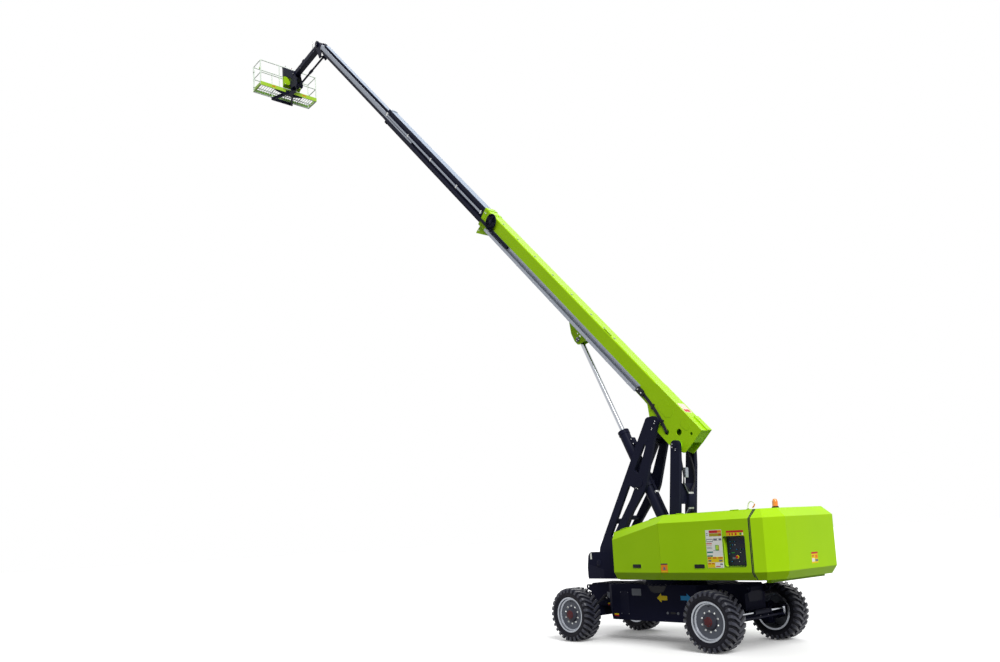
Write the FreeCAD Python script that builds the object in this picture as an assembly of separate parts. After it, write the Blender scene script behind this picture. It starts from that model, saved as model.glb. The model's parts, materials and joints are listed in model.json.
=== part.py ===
import FreeCAD, Part
import math
import os

# Self-propelled telescopic boom lift with a four-bar lift linkage and an articulated jib.
# X points along the boom, Y to the machine's left and Z up, in millimetres.
# Every sub-part is drawn with x = 0 midway between the axles and the ground at z = 0,
# and save() moves them all so that the origin is under the middle of the whole machine.

# ---------------------------------------------------------------- driving dimensions
wheel_base = 3700
track = 2120
tyre_diameter = 1155
tyre_width = 445
rim_seat_diameter = 720
kingpin_half_spacing = 800
kingpin_radius = 30
yoke_low = 415
yoke_high = 740
steer_arm_length = 330
steer_arm_inset = 65
steer_arm_low = 700
steer_arm_plate = 25
steer_rod_height = 665
steer_rod_radius = 22.5
steer_barrel_radius = 45
tie_rod_height = 565
tie_rod_radius = 20
rod_eye_radius = 42
hub_back = 40
knuckle_flange_radius = 150
axle_half_depth = 95
axle_wall = 20
yoke_plate = 40

chassis_half_width = 620
chassis_end_half_width = 330
chassis_box_length = 2300
chassis_overhang = 210
chassis_bottom = 450
chassis_end_bottom = 700
chassis_top = 1200
chassis_plate = 20
manhole_radius = 250
lug_reach = (90, 1115)
lug_hole_radius = 28
lug_thickness = 30

slew_x = -150
slew_ring_radius = 640
deck_bottom = 1300
deck_plate = 40
deck_half_width = 1000
deck_edge_plate = 15
deck_core_half_width = 640
spine_inside = 420
spine_plate = 25
spine_nose = 1990

hood_lower_chamfer_top = 1486
hood_side_top = 2446
hood_top = 2610
hood_half_width = 1246
hood_foot_half_width = 1150
hood_roof_half_width = 1060
hood_inner_wall = 450
hood_rear_x = -2925
tail_front_x = -2945
hood_bend_x = -813
hood_front_x = 540
hood_narrowing = 110
hood_drop = 287
hood_sheet = 6
door_gap = 3
door_flange = 45
hinge_radius = 9
hinge_pin = 5
hinge_rise = 3
niche_length = (-2790, -2340)
niche_height = (1595, 2135)
niche_depth = 125
beacon_place = (-3065, 600)
tail_corner = (-3150, 1170)
tail_face = (-3370, 800)

boom_angle = 46.8
boom_tail = (-1240, 4295)
base_half_width = 160
base_depth = 500
base_wall = 8
base_start = 300
base_nose = 9600
fly_2_half_width = 125
fly_2_top = -30
fly_2_bottom = -470
fly_2_rear = 7850
fly_2_nose = 16400
fly_3_half_width = 100
fly_3_top = -100
fly_3_bottom = -430
fly_3_rear = 14200
fly_3_nose = 22450
fly_wall = 8
slide_gap = 0.8
guard_setback = (540, -155)
guard_stand = 58
guard_radius = 220

rear_foot = (-470, 1584.5)
front_foot = (1640, 1649.6)
rear_top = (245, -613)
front_top = (1000, -615.5)
rod_pin = (4280, -690)
trunnion = (455, 3354)
trunnion_pin = 45
link_pin = 40
rear_boss_radius = 85
front_boss_radius = 95
post_gap = 50
post_width = 90
link_gap = 30
link_plate = 70
barrel_radius = 130
barrel_bore = 100
barrel_front = 1354
barrel_rear = 1850
lift_rod_radius = 55
lift_rod_length = 3200

head_reach = (150, -300)
jib_reach = 450
jib_length = 2000
jib_slope = -5.4
tie_offset = (-200, -570)
head_gap = 5
head_plate = 20
jib_half = 100
tie_radius = 35
jib_pin_radius = 50
tie_pin_radius = 25
head_boss = 14

rotator_reach = 301
rotator_drop = 524
rotator_height = 350
floor_rise = 55
platform_gap = 370
platform_width = 710
platform_half_length = 1185
rail_height = 1030
mid_rail_height = 530
rail_radius = 19
floor_plate = 25
kick_height = 150
kick_plate = 4
post_places = (-430, 400)
arm_spread = 410
flange_plate = 60
rotator_radius = 105
console_span = (-440, 270)
console_base = 160
console_top = 900
gate_radius = 16

pin_gap = 0.5
seat_gap = 0.3
clear_gap = 6


# ---------------------------------------------------------------- drawing helpers
def vec(x, y, z):
    return FreeCAD.Vector(x, y, z)


def mirror_points(points):
    """Half a plan on the left, closed by its mirror image on the right."""
    return points + [(p[0], -p[1]) + tuple(p[2:]) for p in reversed(points)]


def place(plane, a, b, c):
    """The point (a, b) of a plane, at the height c along its normal."""
    if plane == "xy":
        return vec(a, b, c)
    if plane == "xz":
        return vec(a, c, b)
    return vec(c, a, b)


def outline(plane, points, at=0, radius=0):
    """A closed wire. A point's third value rounds its corner; radius rounds the others."""
    corners = [place(plane, p[0], p[1], at) for p in points]
    radii = [p[2] if len(p) > 2 else radius for p in points]
    edges = []
    starts = []
    ends = []
    for i, corner in enumerate(corners):
        back = (corners[i - 1] - corner).normalize()
        ahead = (corners[(i + 1) % len(corners)] - corner).normalize()
        half = back.getAngle(ahead) / 2
        reach = radii[i] / math.tan(half)
        starts.append(corner + back * reach)
        ends.append(corner + ahead * reach)
        if radii[i]:
            middle = (back + ahead).normalize() * (radii[i] / math.sin(half) - radii[i])
            edges.append(Part.Arc(starts[i], corner + middle, ends[i]).toShape())
    for i in range(len(corners)):
        start = ends[i]
        end = starts[(i + 1) % len(corners)]
        if start.distanceToPoint(end) > 1e-4:
            edges.append(Part.makeLine(start, end))
    return Part.Wire(Part.__sortEdges__(edges))


def plate(plane, points, low, high, radius=0):
    """A flat piece between two heights along the plane's normal."""
    face = Part.Face(outline(plane, points, low, radius))
    return face.extrude(place(plane, 0, 0, high - low))


def both_sides(shape):
    """The shape and its mirror image across the machine's centre plane."""
    return [shape, mirrored(shape)]


def mirrored(shape):
    return shape.mirror(vec(0, 0, 0), vec(0, 1, 0))


def box(x, y, z):
    """A box between three pairs of limits."""
    return Part.makeBox(x[1] - x[0], y[1] - y[0], z[1] - z[0], vec(x[0], y[0], z[0]))


def rod(start, end, radius):
    """A round bar between two points."""
    start = vec(*start)
    axis = vec(*end) - start
    return Part.makeCylinder(radius, axis.Length, start, axis)


def cross_rod(x, z, radius, low, high):
    """A round bar along Y."""
    return rod((x, low, z), (x, high, z), radius)


def tube(start, end, radius, bore):
    return rod(start, end, radius).cut(rod(start, end, bore))


def join(shapes):
    first, *rest = shapes
    return first.fuse(rest).removeSplitter() if rest else first


def spin_y(points, x, y, z):
    """A turned solid about an axis along Y; the points are (distance along Y, radius)."""
    face = Part.Face(outline("yz", points))
    solid = face.revolve(vec(0, 0, 0), vec(0, 1, 0), 360)
    solid.translate(vec(x, y, z))
    return solid


def spin_z(points, x, y, z):
    """A turned solid about an axis along Z; the points are (radius, height)."""
    face = Part.Face(outline("xz", points))
    solid = face.revolve(vec(0, 0, 0), vec(0, 0, 1), 360)
    solid.translate(vec(x, y, z))
    return solid


def raised(shape, angle, foot):
    """A piece drawn along +X from the origin, raised by an angle and set on its foot."""
    copy = shape.copy()
    copy.rotate(vec(0, 0, 0), vec(0, -1, 0), angle)
    copy.translate(vec(foot[0], 0, foot[1]))
    return copy


def from_frame(point, angle, foot):
    """The machine's (x, z) of a point given in a raised frame."""
    turn = math.radians(angle)
    x = foot[0] + point[0] * math.cos(turn) - point[1] * math.sin(turn)
    z = foot[1] + point[0] * math.sin(turn) + point[1] * math.cos(turn)
    return (x, z)


def into_frame(point, angle, foot):
    """The raised frame's coordinates of the machine's (x, z)."""
    return from_frame((point[0] - foot[0], point[1] - foot[1]), -angle, (0, 0))


def heading(start, end):
    return math.degrees(math.atan2(end[1] - start[1], end[0] - start[0]))


# ---------------------------------------------------------------- places worked out
post_inside = base_half_width + post_gap
link_inside = base_half_width + link_gap
guard_centre = (base_nose - guard_setback[0], guard_setback[1])
head_pin = (fly_3_nose + head_reach[0], head_reach[1])
jib_pin = (head_pin[0] + jib_reach, head_pin[1])
head_inside = max(jib_half, fly_3_half_width) + head_gap
boom_rear_pin = from_frame(rear_top, boom_angle, boom_tail)
boom_front_pin = from_frame(front_top, boom_angle, boom_tail)
lift_eye = from_frame(rod_pin, boom_angle, boom_tail)
rear_link_length = math.dist(rear_foot, boom_rear_pin)
front_link_length = math.dist(front_foot, boom_front_pin)
rear_link_angle = heading(rear_foot, boom_rear_pin)
front_link_angle = heading(front_foot, boom_front_pin)
trunnion_on_link = into_frame(trunnion, front_link_angle, front_foot)
cylinder_angle = heading(trunnion, lift_eye)
cylinder_length = math.dist(trunnion, lift_eye)
head_pivot = from_frame(head_pin, boom_angle, boom_tail)
jib_pivot = from_frame(jib_pin, boom_angle, boom_tail)
tie_pivot = (jib_pivot[0] + tie_offset[0], jib_pivot[1] + tie_offset[1])
jib_tip = from_frame((jib_length, 0), jib_slope, jib_pivot)
tie_tip = (jib_tip[0] + tie_offset[0], jib_tip[1] + tie_offset[1])
rotator_x = round(jib_tip[0]) + rotator_reach
rotator_low = round(jib_tip[1]) - rotator_drop
rotator_high = rotator_low + rotator_height
platform_floor = rotator_low + floor_rise
platform_rear = rotator_x + platform_gap
platform_front = platform_rear + platform_width
axle_height = tyre_diameter / 2
deck_top = deck_bottom + deck_plate
hood_bottom = deck_top + seat_gap
chassis_length = wheel_base + 2 * chassis_overhang
origin_x = (platform_front + tail_face[0]) / 2
lug_hole = (chassis_length / 2 + lug_reach[0], lug_reach[1])
corners = {
    "front_left": (1, 1),
    "front_right": (1, -1),
    "rear_left": (-1, 1),
    "rear_right": (-1, -1),
}


def save(name, shape):
    """Writes one node, moved to the machine's reference point."""
    copy = shape.copy()
    copy.translate(vec(-origin_x, 0, 0))
    copy.exportStep("parts/" + name + ".step")


def compound(shapes):
    return Part.makeCompound(shapes)


# ---------------------------------------------------------------- wheels and steering
def tyre():
    """The tyre's turned body about the wheel's centre, with bulged walls and round shoulders."""
    outer = tyre_diameter / 2
    seat = rim_seat_diameter / 2 + seat_gap
    half = tyre_width / 2
    bead = half - 45
    section = [(-bead, seat), (bead, seat), (bead, seat + 25, 8), (half - 4, seat + 70, 30),
               (half, outer - 60, 40), (half - 55, outer, 40), (55 - half, outer, 40),
               (-half, outer - 60, 40), (4 - half, seat + 70, 30), (-bead, seat + 25, 8)]
    return spin_y(section, 0, 0, 0)


def rim():
    """Rim, dished disc and planetary hub as one turned body; +Y is the outer side."""
    seat = rim_seat_diameter / 2
    half = tyre_width / 2
    lip = half - 30.5
    flange = half - 44.5
    disc = seat - 52
    section = [(-hub_back, 0), (-hub_back, 135), (104, 150), (104, disc + 4), (122, seat - 17), (-lip, seat - 17),
               (-lip, seat + 21, 5), (-flange, seat + 21, 5), (-flange, seat), (flange, seat),
               (flange, seat + 21, 5), (lip, seat + 21, 5), (lip, seat - 10), (150, seat - 20),
               (124, disc, 10), (124, 165), (160, 150, 12), (185, 95, 10), (185, 0)]
    return spin_y(section, 0, 0, 0)


def wheel_nodes():
    for name, (front, left) in corners.items():
        centre = vec(front * wheel_base / 2, left * track / 2, axle_height)
        for kind, shape in (("tyre", tyre()), ("rim", rim())):
            side = shape if left > 0 else mirrored(shape)
            side.translate(centre)
            save(kind + "_" + name, side)


def knuckle():
    """Front left knuckle about its kingpin's foot: barrel, brake housing and steering arm."""
    low = yoke_low + seat_gap
    high = yoke_high - seat_gap
    barrel = rod((0, 0, low), (0, 0, high), 60)
    hub_face = track / 2 - hub_back - seat_gap - kingpin_half_spacing
    housing = rod((0, 0, axle_height), (0, hub_face, axle_height), 105)
    flange = rod((0, hub_face - 70, axle_height), (0, hub_face, axle_height), knuckle_flange_radius)
    arm_points = [(-40, 55, 30), (-40, -60, 30), (steer_arm_length + 30, -steer_arm_inset - 45, 40),
                  (steer_arm_length + 45, -steer_arm_inset + 45, 40), (60, 60, 30)]
    arm = plate("xy", arm_points, steer_arm_low, steer_arm_low + steer_arm_plate)
    bore = rod((0, 0, low - 1), (0, 0, high + 1), kingpin_radius + pin_gap)
    return join([barrel, housing, flange, arm]).cut(bore)


def knuckle_nodes():
    for name, (front, left) in corners.items():
        shape = knuckle()
        if left < 0:
            shape = mirrored(shape)
        if front < 0:
            shape = shape.mirror(vec(0, 0, 0), vec(1, 0, 0))
        shape.translate(vec(front * wheel_base / 2, left * kingpin_half_spacing, 0))
        save("knuckle_" + name, shape)


def axle(x):
    """Tapered hollow beam with a yoke for each knuckle and a saddle under the chassis."""
    side = [(-640, 500), (-420, 480), (420, 480), (640, 500), (640, 680), (200, 690),
            (200, chassis_end_bottom - seat_gap), (-200, chassis_end_bottom - seat_gap),
            (-200, 690), (-640, 680)]
    beam = plate("yz", side, x - axle_half_depth, x + axle_half_depth)
    inside = axle_half_depth - axle_wall
    hollow = box((x - inside, x + inside), (-600, 600), (500 + axle_wall, 680 - axle_wall))
    yokes = []
    for side_of in (1, -1):
        ear = [(x - 70, 620), (x + 70, 620), (x + 62, 862, 61), (x - 62, 862, 61)]
        low = yoke_low - yoke_plate
        high = yoke_high + yoke_plate
        pin = (x, kingpin_half_spacing)
        yoke = [plate("xy", ear, low, yoke_low), plate("xy", ear, yoke_high, high),
                box((x - 70, x + 70), (610, 662), (low, high)),
                rod(pin + (low - 14,), pin + (yoke_low,), kingpin_radius + 12),
                rod(pin + (yoke_high,), pin + (high + 14,), kingpin_radius + 12),
                rod(pin + (yoke_low - 1,), pin + (yoke_high + 1,), kingpin_radius)]
        yokes += yoke if side_of > 0 else [mirrored(s) for s in yoke]
    return join([beam.cut(hollow)] + yokes)


def steer_rod(front):
    """Cylinder rod and tie rod between the two knuckles, joined by an eye block at each end."""
    x = front * (wheel_base / 2 + steer_arm_length)
    end = kingpin_half_spacing - steer_arm_inset
    pieces = [rod((x, -end, steer_rod_height), (x, end, steer_rod_height), steer_rod_radius),
              rod((x, -end, tie_rod_height), (x, end, tie_rod_height), tie_rod_radius)]
    for y in (-end, end):
        pieces.append(rod((x, y, tie_rod_height - 25), (x, y, steer_arm_low - clear_gap), rod_eye_radius))
    return join(pieces)


def steering_cylinder(front):
    """Barrel round the steering rod, with two brackets that bolt to the axle beam."""
    x = front * (wheel_base / 2 + steer_arm_length)
    bore = steer_rod_radius + pin_gap
    barrel = tube((x, -260, steer_rod_height), (x, 260, steer_rod_height), steer_barrel_radius, bore)
    glands = [tube((x, y, steer_rod_height), (x, y + 30, steer_rod_height), steer_barrel_radius + 7, bore)
              for y in (-262, 232)]
    near = front * (wheel_base / 2 + axle_half_depth)
    far = x - front * (steer_barrel_radius - 7)
    brackets = [box(sorted((near + front * seat_gap, far)), (y, y + 25), (610, 678)) for y in (-190, 165)]
    return join([barrel] + glands + brackets)


def steering_nodes():
    for name, front in (("front", 1), ("rear", -1)):
        save("axle_" + name, axle(front * wheel_base / 2))
        save("steer_rod_" + name, steer_rod(front))
    save("steering_cylinders", compound([steering_cylinder(1), steering_cylinder(-1)]))


# ---------------------------------------------------------------- chassis and slew ring
def chassis_form(wall):
    """The chassis' outer form, or with a wall the space inside it."""
    half_box = chassis_box_length / 2
    half = chassis_length / 2
    side = [(-half, 720), (-half, 1140), (60 - half, chassis_top), (half - 60, chassis_top),
            (half, 1140), (half, 720), (half - 20, chassis_end_bottom),
            (half_box + 200, chassis_end_bottom), (half_box, chassis_bottom),
            (-half_box, chassis_bottom), (-half_box - 200, chassis_end_bottom),
            (20 - half, chassis_end_bottom)]
    plan = mirror_points([(-half, chassis_end_half_width), (-half_box - 260, chassis_end_half_width),
                          (-half_box - 200, 480), (-half_box, chassis_half_width),
                          (half_box, chassis_half_width), (half_box + 200, 480),
                          (half_box + 260, chassis_end_half_width), (half, chassis_end_half_width)])
    side_face = Part.Face(outline("xz", side, -1000))
    plan_face = Part.Face(outline("xy", plan, 0))
    if wall:
        side_face = side_face.makeOffset2D(-wall, 2)
        plan_face = plan_face.makeOffset2D(-wall, 2)
    return side_face.extrude(vec(0, 2000, 0)).common(plan_face.extrude(vec(0, 0, 2000)))


def chassis():
    """Hollow welded box, drawn in over each axle, with the round seat of the slew ring."""
    shell = chassis_form(0).cut(chassis_form(chassis_plate))
    seat = rod((slew_x, 0, chassis_top - 20), (slew_x, 0, chassis_top), slew_ring_radius + 30)
    manhole = rod((slew_x, 0, chassis_top - 60), (slew_x, 0, chassis_top + 1), manhole_radius)
    return join([shell, seat] + tie_down_lugs()).cut(manhole)


def tie_down_lugs():
    """Four bored lugs, in line with the side plates at the chassis' two ends."""
    x, z = lug_hole
    back = chassis_length / 2 - 30
    shape = [(back, z - 110), (x + 52, z - 52, 50), (x + 52, z + 52, 50), (back, z + 52)]
    lugs = []
    for side_of in (1, -1):
        edges = sorted((side_of * chassis_end_half_width, side_of * (chassis_end_half_width - lug_thickness)))
        lug = plate("xz", shape, *edges)
        lug = lug.cut(cross_rod(x, z, lug_hole_radius, edges[0] - 1, edges[1] + 1))
        lugs += [lug, lug.mirror(vec(0, 0, 0), vec(1, 0, 0))]
    return lugs


def slew_ring():
    """Ball ring in section: outer ring, groove and the lower flange bolted to the chassis."""
    low = chassis_top + seat_gap
    high = deck_bottom - seat_gap
    r = slew_ring_radius
    section = [(r - 150, low), (r, low), (r, low + 42), (r - 12, low + 42), (r - 12, low + 50),
               (r - 4, low + 50), (r - 4, high), (r - 150, high)]
    return spin_z(section, slew_x, 0, 0)


# ---------------------------------------------------------------- turntable
def turntable():
    """Deck, the two spine plates that carry the links' feet, and the plates of the nose."""
    spine_face = spine_inside + spine_plate
    nose = [(hood_front_x + 150, spine_face, 60), (spine_nose, spine_face, 60)]
    edge = [(tail_front_x, deck_half_width, 60), (hood_front_x - 5, deck_half_width, 60)] + nose
    core = [(tail_front_x, deck_core_half_width), (-150, deck_core_half_width, 60)] + nose
    deck = join([plate("xy", mirror_points(core), deck_bottom, deck_top),
                 plate("xy", mirror_points(edge), deck_top - deck_edge_plate, deck_top)])
    deck = deck.cut(rod((slew_x, 0, deck_bottom - 1), (slew_x, 0, deck_top + 1), manhole_radius))
    pieces = [deck]
    spine = [(-1200, deck_top - 1), (-1000, 1850, 120), (-760, 2080, 120), (0, 2080, 300), (700, 1900, 300),
             (spine_nose - 30, 1900, 130), (spine_nose + 20, 1560, 130), (spine_nose - 50, 1400, 60),
             (spine_nose - 90, deck_top - 1)]
    for side_of in (1, -1):
        side = plate("xz", spine, spine_inside, spine_inside + spine_plate)
        pins = [cross_rod(*rear_foot, link_pin, post_inside - 12, spine_inside + 1),
                cross_rod(*rear_foot, rear_boss_radius, post_inside + post_width + clear_gap,
                          spine_inside + 1),
                cross_rod(*front_foot, link_pin, link_inside - 12, spine_inside + 1),
                cross_rod(*front_foot, front_boss_radius, link_inside + link_plate + clear_gap,
                          spine_inside + 1)]
        group = join([side] + pins)
        pieces.append(group if side_of > 0 else mirrored(group))
    inner = (-spine_inside - 1, spine_inside + 1)
    pieces.append(box((-1170, -1150), inner, (deck_top - 1, 1640)))
    pieces.append(box((spine_nose - 15, spine_nose + 5), inner, (1500, 1800)))
    return join(pieces)


def front_share(x):
    """How far a station lies along the hood's front part, from 0 at the bend."""
    return max(0, x - hood_bend_x) / (hood_front_x - hood_bend_x)


def hood_section(inset, x):
    """Half section of the hood in a plane across the machine, as a wire."""
    slope = 0.4 * inset
    fall = hood_drop * front_share(x)
    narrow = hood_narrowing * front_share(x)
    side = hood_half_width - narrow - inset
    points = [(hood_inner_wall + inset, hood_bottom + inset),
              (hood_foot_half_width - narrow - slope, hood_bottom + inset),
              (side, hood_lower_chamfer_top + slope), (side, hood_side_top - fall - slope),
              (hood_roof_half_width - slope, hood_top - fall - inset),
              (hood_inner_wall + inset, hood_top - fall - inset)]
    return outline("yz", points, x)


def hood_form(inset):
    """Left hood as a solid: level behind the bend, falling and narrowing in front of it."""
    rear = Part.Face(hood_section(inset, hood_rear_x)).extrude(vec(hood_bend_x - hood_rear_x, 0, 0))
    front = Part.makeLoft([hood_section(inset, hood_bend_x), hood_section(inset, hood_front_x)], True, True)
    return rear.fuse(front)


def hinge_line(x):
    """The two hinges of a door's span, each as four points along the roof's edge."""
    hinges = []
    for share in (0.2, 0.8):
        points = []
        for offset in (-90, -45, 45, 90):
            at = x[0] + share * (x[1] - x[0]) + offset
            height = hood_top + hinge_rise - hood_drop * front_share(at)
            points.append((at, hood_roof_half_width + door_gap / 2, height))
        hinges.append(points)
    return hinges


def hood_door(x):
    """Outer skin of the left hood between two lengths, from the roof's edge to the bottom flange."""
    skin = hood_form(0).cut(hood_form(hood_sheet))
    keep = box(x, (hood_roof_half_width + door_gap, hood_half_width + 1), (hood_bottom - 1, hood_top + 1))
    foot = box(x, (deck_half_width - 70, hood_half_width), (hood_bottom - 1, hood_lower_chamfer_top))
    flange = [(hood_bend_x - 9999, 0), (hood_bend_x - 9999, hood_foot_half_width - door_flange),
              (hood_bend_x, hood_foot_half_width - door_flange),
              (hood_front_x, hood_foot_half_width - hood_narrowing - door_flange), (hood_front_x, 0)]
    door = skin.common(keep.fuse(foot)).cut(plate("xy", flange, hood_bottom - 2, hood_bottom + 9))
    for a, b, c, d in hinge_line(x):
        door = door.fuse(rod(b, c, hinge_radius))
        for start, end in ((a, b), (c, d)):
            door = door.cut(rod(start, end, hinge_radius + 1))
        door = door.cut(rod(a, d, hinge_pin + pin_gap))
    return door


def control_niche(grow, low, high):
    """The round-cornered block that the niche of the ground controls is made from."""
    x = (niche_length[0] - grow, niche_length[1] + grow)
    z = (niche_height[0] - grow, niche_height[1] + grow)
    return plate("xz", [(x[0], z[0]), (x[1], z[0]), (x[1], z[1]), (x[0], z[1])],
                 hood_half_width - low, hood_half_width - high, 30 + grow)


def with_niche(door):
    """The rear left door with the open niche pressed into it."""
    space = control_niche(0, niche_depth, -1)
    shell = control_niche(hood_sheet, niche_depth + hood_sheet, 0)
    return door.cut(space).fuse(shell.cut(space)).removeSplitter()


def ground_control_panel():
    """Control panel on the niche's back wall, with a raised frame round its face."""
    back = niche_depth - seat_gap
    plain = control_niche(-12, back, back - 30)
    return join([plain, control_niche(-12, back, back - 38).cut(control_niche(-30, back, 0))])


def roof_hinges(roof, x):
    """The roof with a pin and two end knuckles at each hinge of a door's span."""
    for a, b, c, d in hinge_line(x):
        roof = roof.cut(rod(b, c, hinge_radius + 1))
        roof = join([roof, rod(a, b, hinge_radius), rod(c, d, hinge_radius), rod(a, d, hinge_pin)])
    return roof


def door_spans():
    return {"rear": (hood_rear_x + door_gap, hood_bend_x - door_gap),
            "front": (hood_bend_x + door_gap, hood_front_x - hood_sheet - door_gap)}


def hood_shell():
    """Roof, inner wall and end wall of the left hood, with the door hinges."""
    skin = hood_form(0).cut(hood_form(hood_sheet))
    fixed = skin.common(box((hood_rear_x, hood_front_x + 1), (hood_inner_wall - 1, hood_roof_half_width),
                            (hood_bottom - 1, hood_top + 1)))
    floor = box((hood_rear_x - 1, hood_front_x + 1), (hood_inner_wall + hood_sheet, hood_roof_half_width + 1),
                (hood_bottom - 1, hood_bottom + 120))
    end = hood_form(0).common(box((hood_front_x - hood_sheet, hood_front_x + 1),
                                  (hood_inner_wall - 1, hood_half_width), (hood_bottom - 1, hood_top + 1)))
    shell = join([fixed.cut(floor), end])
    for span in door_spans().values():
        shell = roof_hinges(shell, span)
    return shell


def hood_nodes():
    pieces = {"hood_shell": hood_shell()}
    for name, span in door_spans().items():
        pieces["hood_door_" + name] = hood_door(span)
    for name, shape in pieces.items():
        save(name + "_right", mirrored(shape))
        if name == "hood_door_rear":
            shape = with_niche(shape)
        save(name + "_left", shape)
    save("ground_control_panel", ground_control_panel())


def tail_outline(inset, z):
    """Plan of the counterweight, drawn in on the three outer faces."""
    points = [(tail_front_x + 400, -hood_half_width), (tail_front_x, -hood_half_width),
              (tail_corner[0], -tail_corner[1]), (tail_face[0], -tail_face[1]),
              (tail_face[0], tail_face[1]), tail_corner, (tail_front_x, hood_half_width),
              (tail_front_x + 400, hood_half_width)]
    wire = outline("xy", points, z)
    if not inset:
        return wire
    return Part.Face(wire).makeOffset2D(-inset, 2).Wires[0]


def counterweight():
    """Cast tail weight that closes the hoods, with its upper and lower edges drawn in."""
    inset_top = hood_half_width - hood_roof_half_width
    inset_low = hood_half_width - hood_foot_half_width
    low = Part.makeLoft([tail_outline(inset_low, hood_bottom), tail_outline(0, hood_lower_chamfer_top)],
                        True, True)
    middle = Part.Face(tail_outline(0, hood_lower_chamfer_top)).extrude(
        vec(0, 0, hood_side_top - hood_lower_chamfer_top))
    top = Part.makeLoft([tail_outline(0, hood_side_top), tail_outline(inset_top, hood_top)], True, True)
    ends = join([low, middle, top])
    seat = tail_front_x - seat_gap
    behind = box((tail_face[0] - 10, seat), (-1500, 1500), (hood_bottom - 10, hood_top + 10))
    foot = box((seat - 100, seat), (-900, 900), (deck_top - 60, hood_bottom + 1))
    return join([ends.common(behind), foot])


def engine_block():
    return plate("xz", [(-2250, deck_top + seat_gap), (-1150, deck_top + seat_gap), (-1150, 1900, 60),
                        (-1500, 1980, 60), (-2250, 1980, 60)], -990, -530)


def tank_block():
    foot = deck_top + seat_gap
    return plate("yz", [(530, foot), (990, foot), (990, 2150, 90), (530, 2150, 40)], -600, 250)


def beacon():
    x, y = beacon_place
    profile = [(0, 0), (62, 0), (62, 18), (52, 26), (50, 120, 12), (30, 165, 20), (0, 172)]
    return spin_z(profile, x, y, hood_top + seat_gap)


# ---------------------------------------------------------------- lift linkage
def rear_link():
    """Two box posts, joined by a cross plate behind the lift cylinder."""
    length = rear_link_length
    post = [(-120, -110, 105), (900, -190, 400), (length - 300, -125, 200), (length + 105, -105, 100),
            (length + 105, 105, 100), (length - 400, 115, 200), (900, 60, 400), (-120, 110, 105)]
    pieces = []
    for side_of in (1, -1):
        solid = plate("xz", post, post_inside, post_inside + post_width)
        for x in (0, length):
            solid = solid.cut(cross_rod(x, 0, link_pin + pin_gap, post_inside - 1,
                                        post_inside + post_width + 1))
        pieces.append(solid if side_of > 0 else mirrored(solid))
    web = plate("xz", [(1250, 62), (1680, 78), (1680, 98), (1250, 82)], -post_inside - 1, post_inside + 1)
    bar = cross_rod(1470, 30, 50, -post_inside - 1, post_inside + 1)
    pieces += [web, bar]
    return raised(join(pieces), rear_link_angle, rear_foot)


def front_link():
    """Two cut-out plates that carry the cylinder's trunnion, joined by three cross tubes."""
    length = front_link_length
    top = [(-130, 120, 110), (1100, 200, 300), (1980, 355, 90), (2110, 352, 90), (3300, 85, 200),
           (length + 112, 78, 75), (length + 112, -110, 100), (length, -280, 90), (230, -280, 200),
           (-130, -130, 110)]
    upper_window = [(2240, 55, 28), (2240, -100, 28), (2900, -85, 22), (2900, -30, 22)]
    lower_window = [(1900, 108, 50), (1900, -97, 50), (600, -97, 22), (600, -40, 22)]
    u, w = trunnion_on_link
    low = link_inside - 1
    high = link_inside + link_plate + 1
    solid = plate("xz", top, link_inside, link_inside + link_plate)
    solid = solid.cut(plate("xz", upper_window, low, high)).cut(plate("xz", lower_window, low, high))
    collar = cross_rod(u, w, 95, high - 2, high + 14)
    solid = join([solid, collar])
    for x, z, radius in ((0, 0, link_pin), (u, w, trunnion_pin)):
        solid = solid.cut(cross_rod(x, z, radius + pin_gap, low - 1, high + 20))
    cap = cross_rod(length, 0, 62, high - 2, high + 8)
    pieces = both_sides(join([solid, cap]))
    for x, z, radius in ((950, -185, 60), (1200, 125, 50), (3000, -45, 55)):
        pieces.append(cross_rod(x, z, radius, -link_inside - 1, link_inside + 1))
    return raised(join(pieces), front_link_angle, front_foot)


def lift_barrel():
    """Barrel with its gland, end cap and the trunnion collar with two stub pins."""
    outer = rod((-barrel_rear, 0, 0), (barrel_front, 0, 0), barrel_radius - 8)
    collar = rod((-110, 0, 0), (110, 0, 0), barrel_radius + 14)
    gland = rod((barrel_front - 90, 0, 0), (barrel_front, 0, 0), barrel_radius)
    cap = rod((-barrel_rear, 0, 0), (60 - barrel_rear, 0, 0), barrel_radius)
    pins = cross_rod(0, 0, trunnion_pin, -link_inside - link_plate - 12, link_inside + link_plate + 12)
    shoulder = cross_rod(0, 0, 80, 5 - link_inside, link_inside - 5)
    body = join([outer, collar, gland, cap, shoulder, pins])
    body = body.cut(rod((50 - barrel_rear, 0, 0), (barrel_front - 80, 0, 0), barrel_bore))
    body = body.cut(rod((0, 0, 0), (barrel_front + 1, 0, 0), lift_rod_radius + pin_gap))
    return raised(body, cylinder_angle, trunnion)


def lift_rod():
    """Chromed rod with a rounded eye, whose pin ends short of the lugs."""
    eye = cross_rod(cylinder_length, 0, 80, -50, 50)
    neck = rod((cylinder_length - 150, 0, 0), (cylinder_length - 60, 0, 0), 50)
    bar = rod((cylinder_length - lift_rod_length, 0, 0), (cylinder_length - 100, 0, 0), lift_rod_radius)
    return raised(join([eye, neck, bar]), cylinder_angle, trunnion)


# ---------------------------------------------------------------- boom
def box_tube(half, top, bottom, start, end, wall, radius):
    """Rectangular boom section between two stations, with rounded folds."""
    section = [(-half, bottom), (half, bottom), (half, top), (-half, top)]
    inside = [(wall - half, bottom + wall), (half - wall, bottom + wall), (half - wall, top - wall),
              (wall - half, top - wall)]
    outer = plate("yz", section, start, end, radius)
    return outer.cut(plate("yz", inside, start - 1, end + 1, radius - wall))


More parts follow.
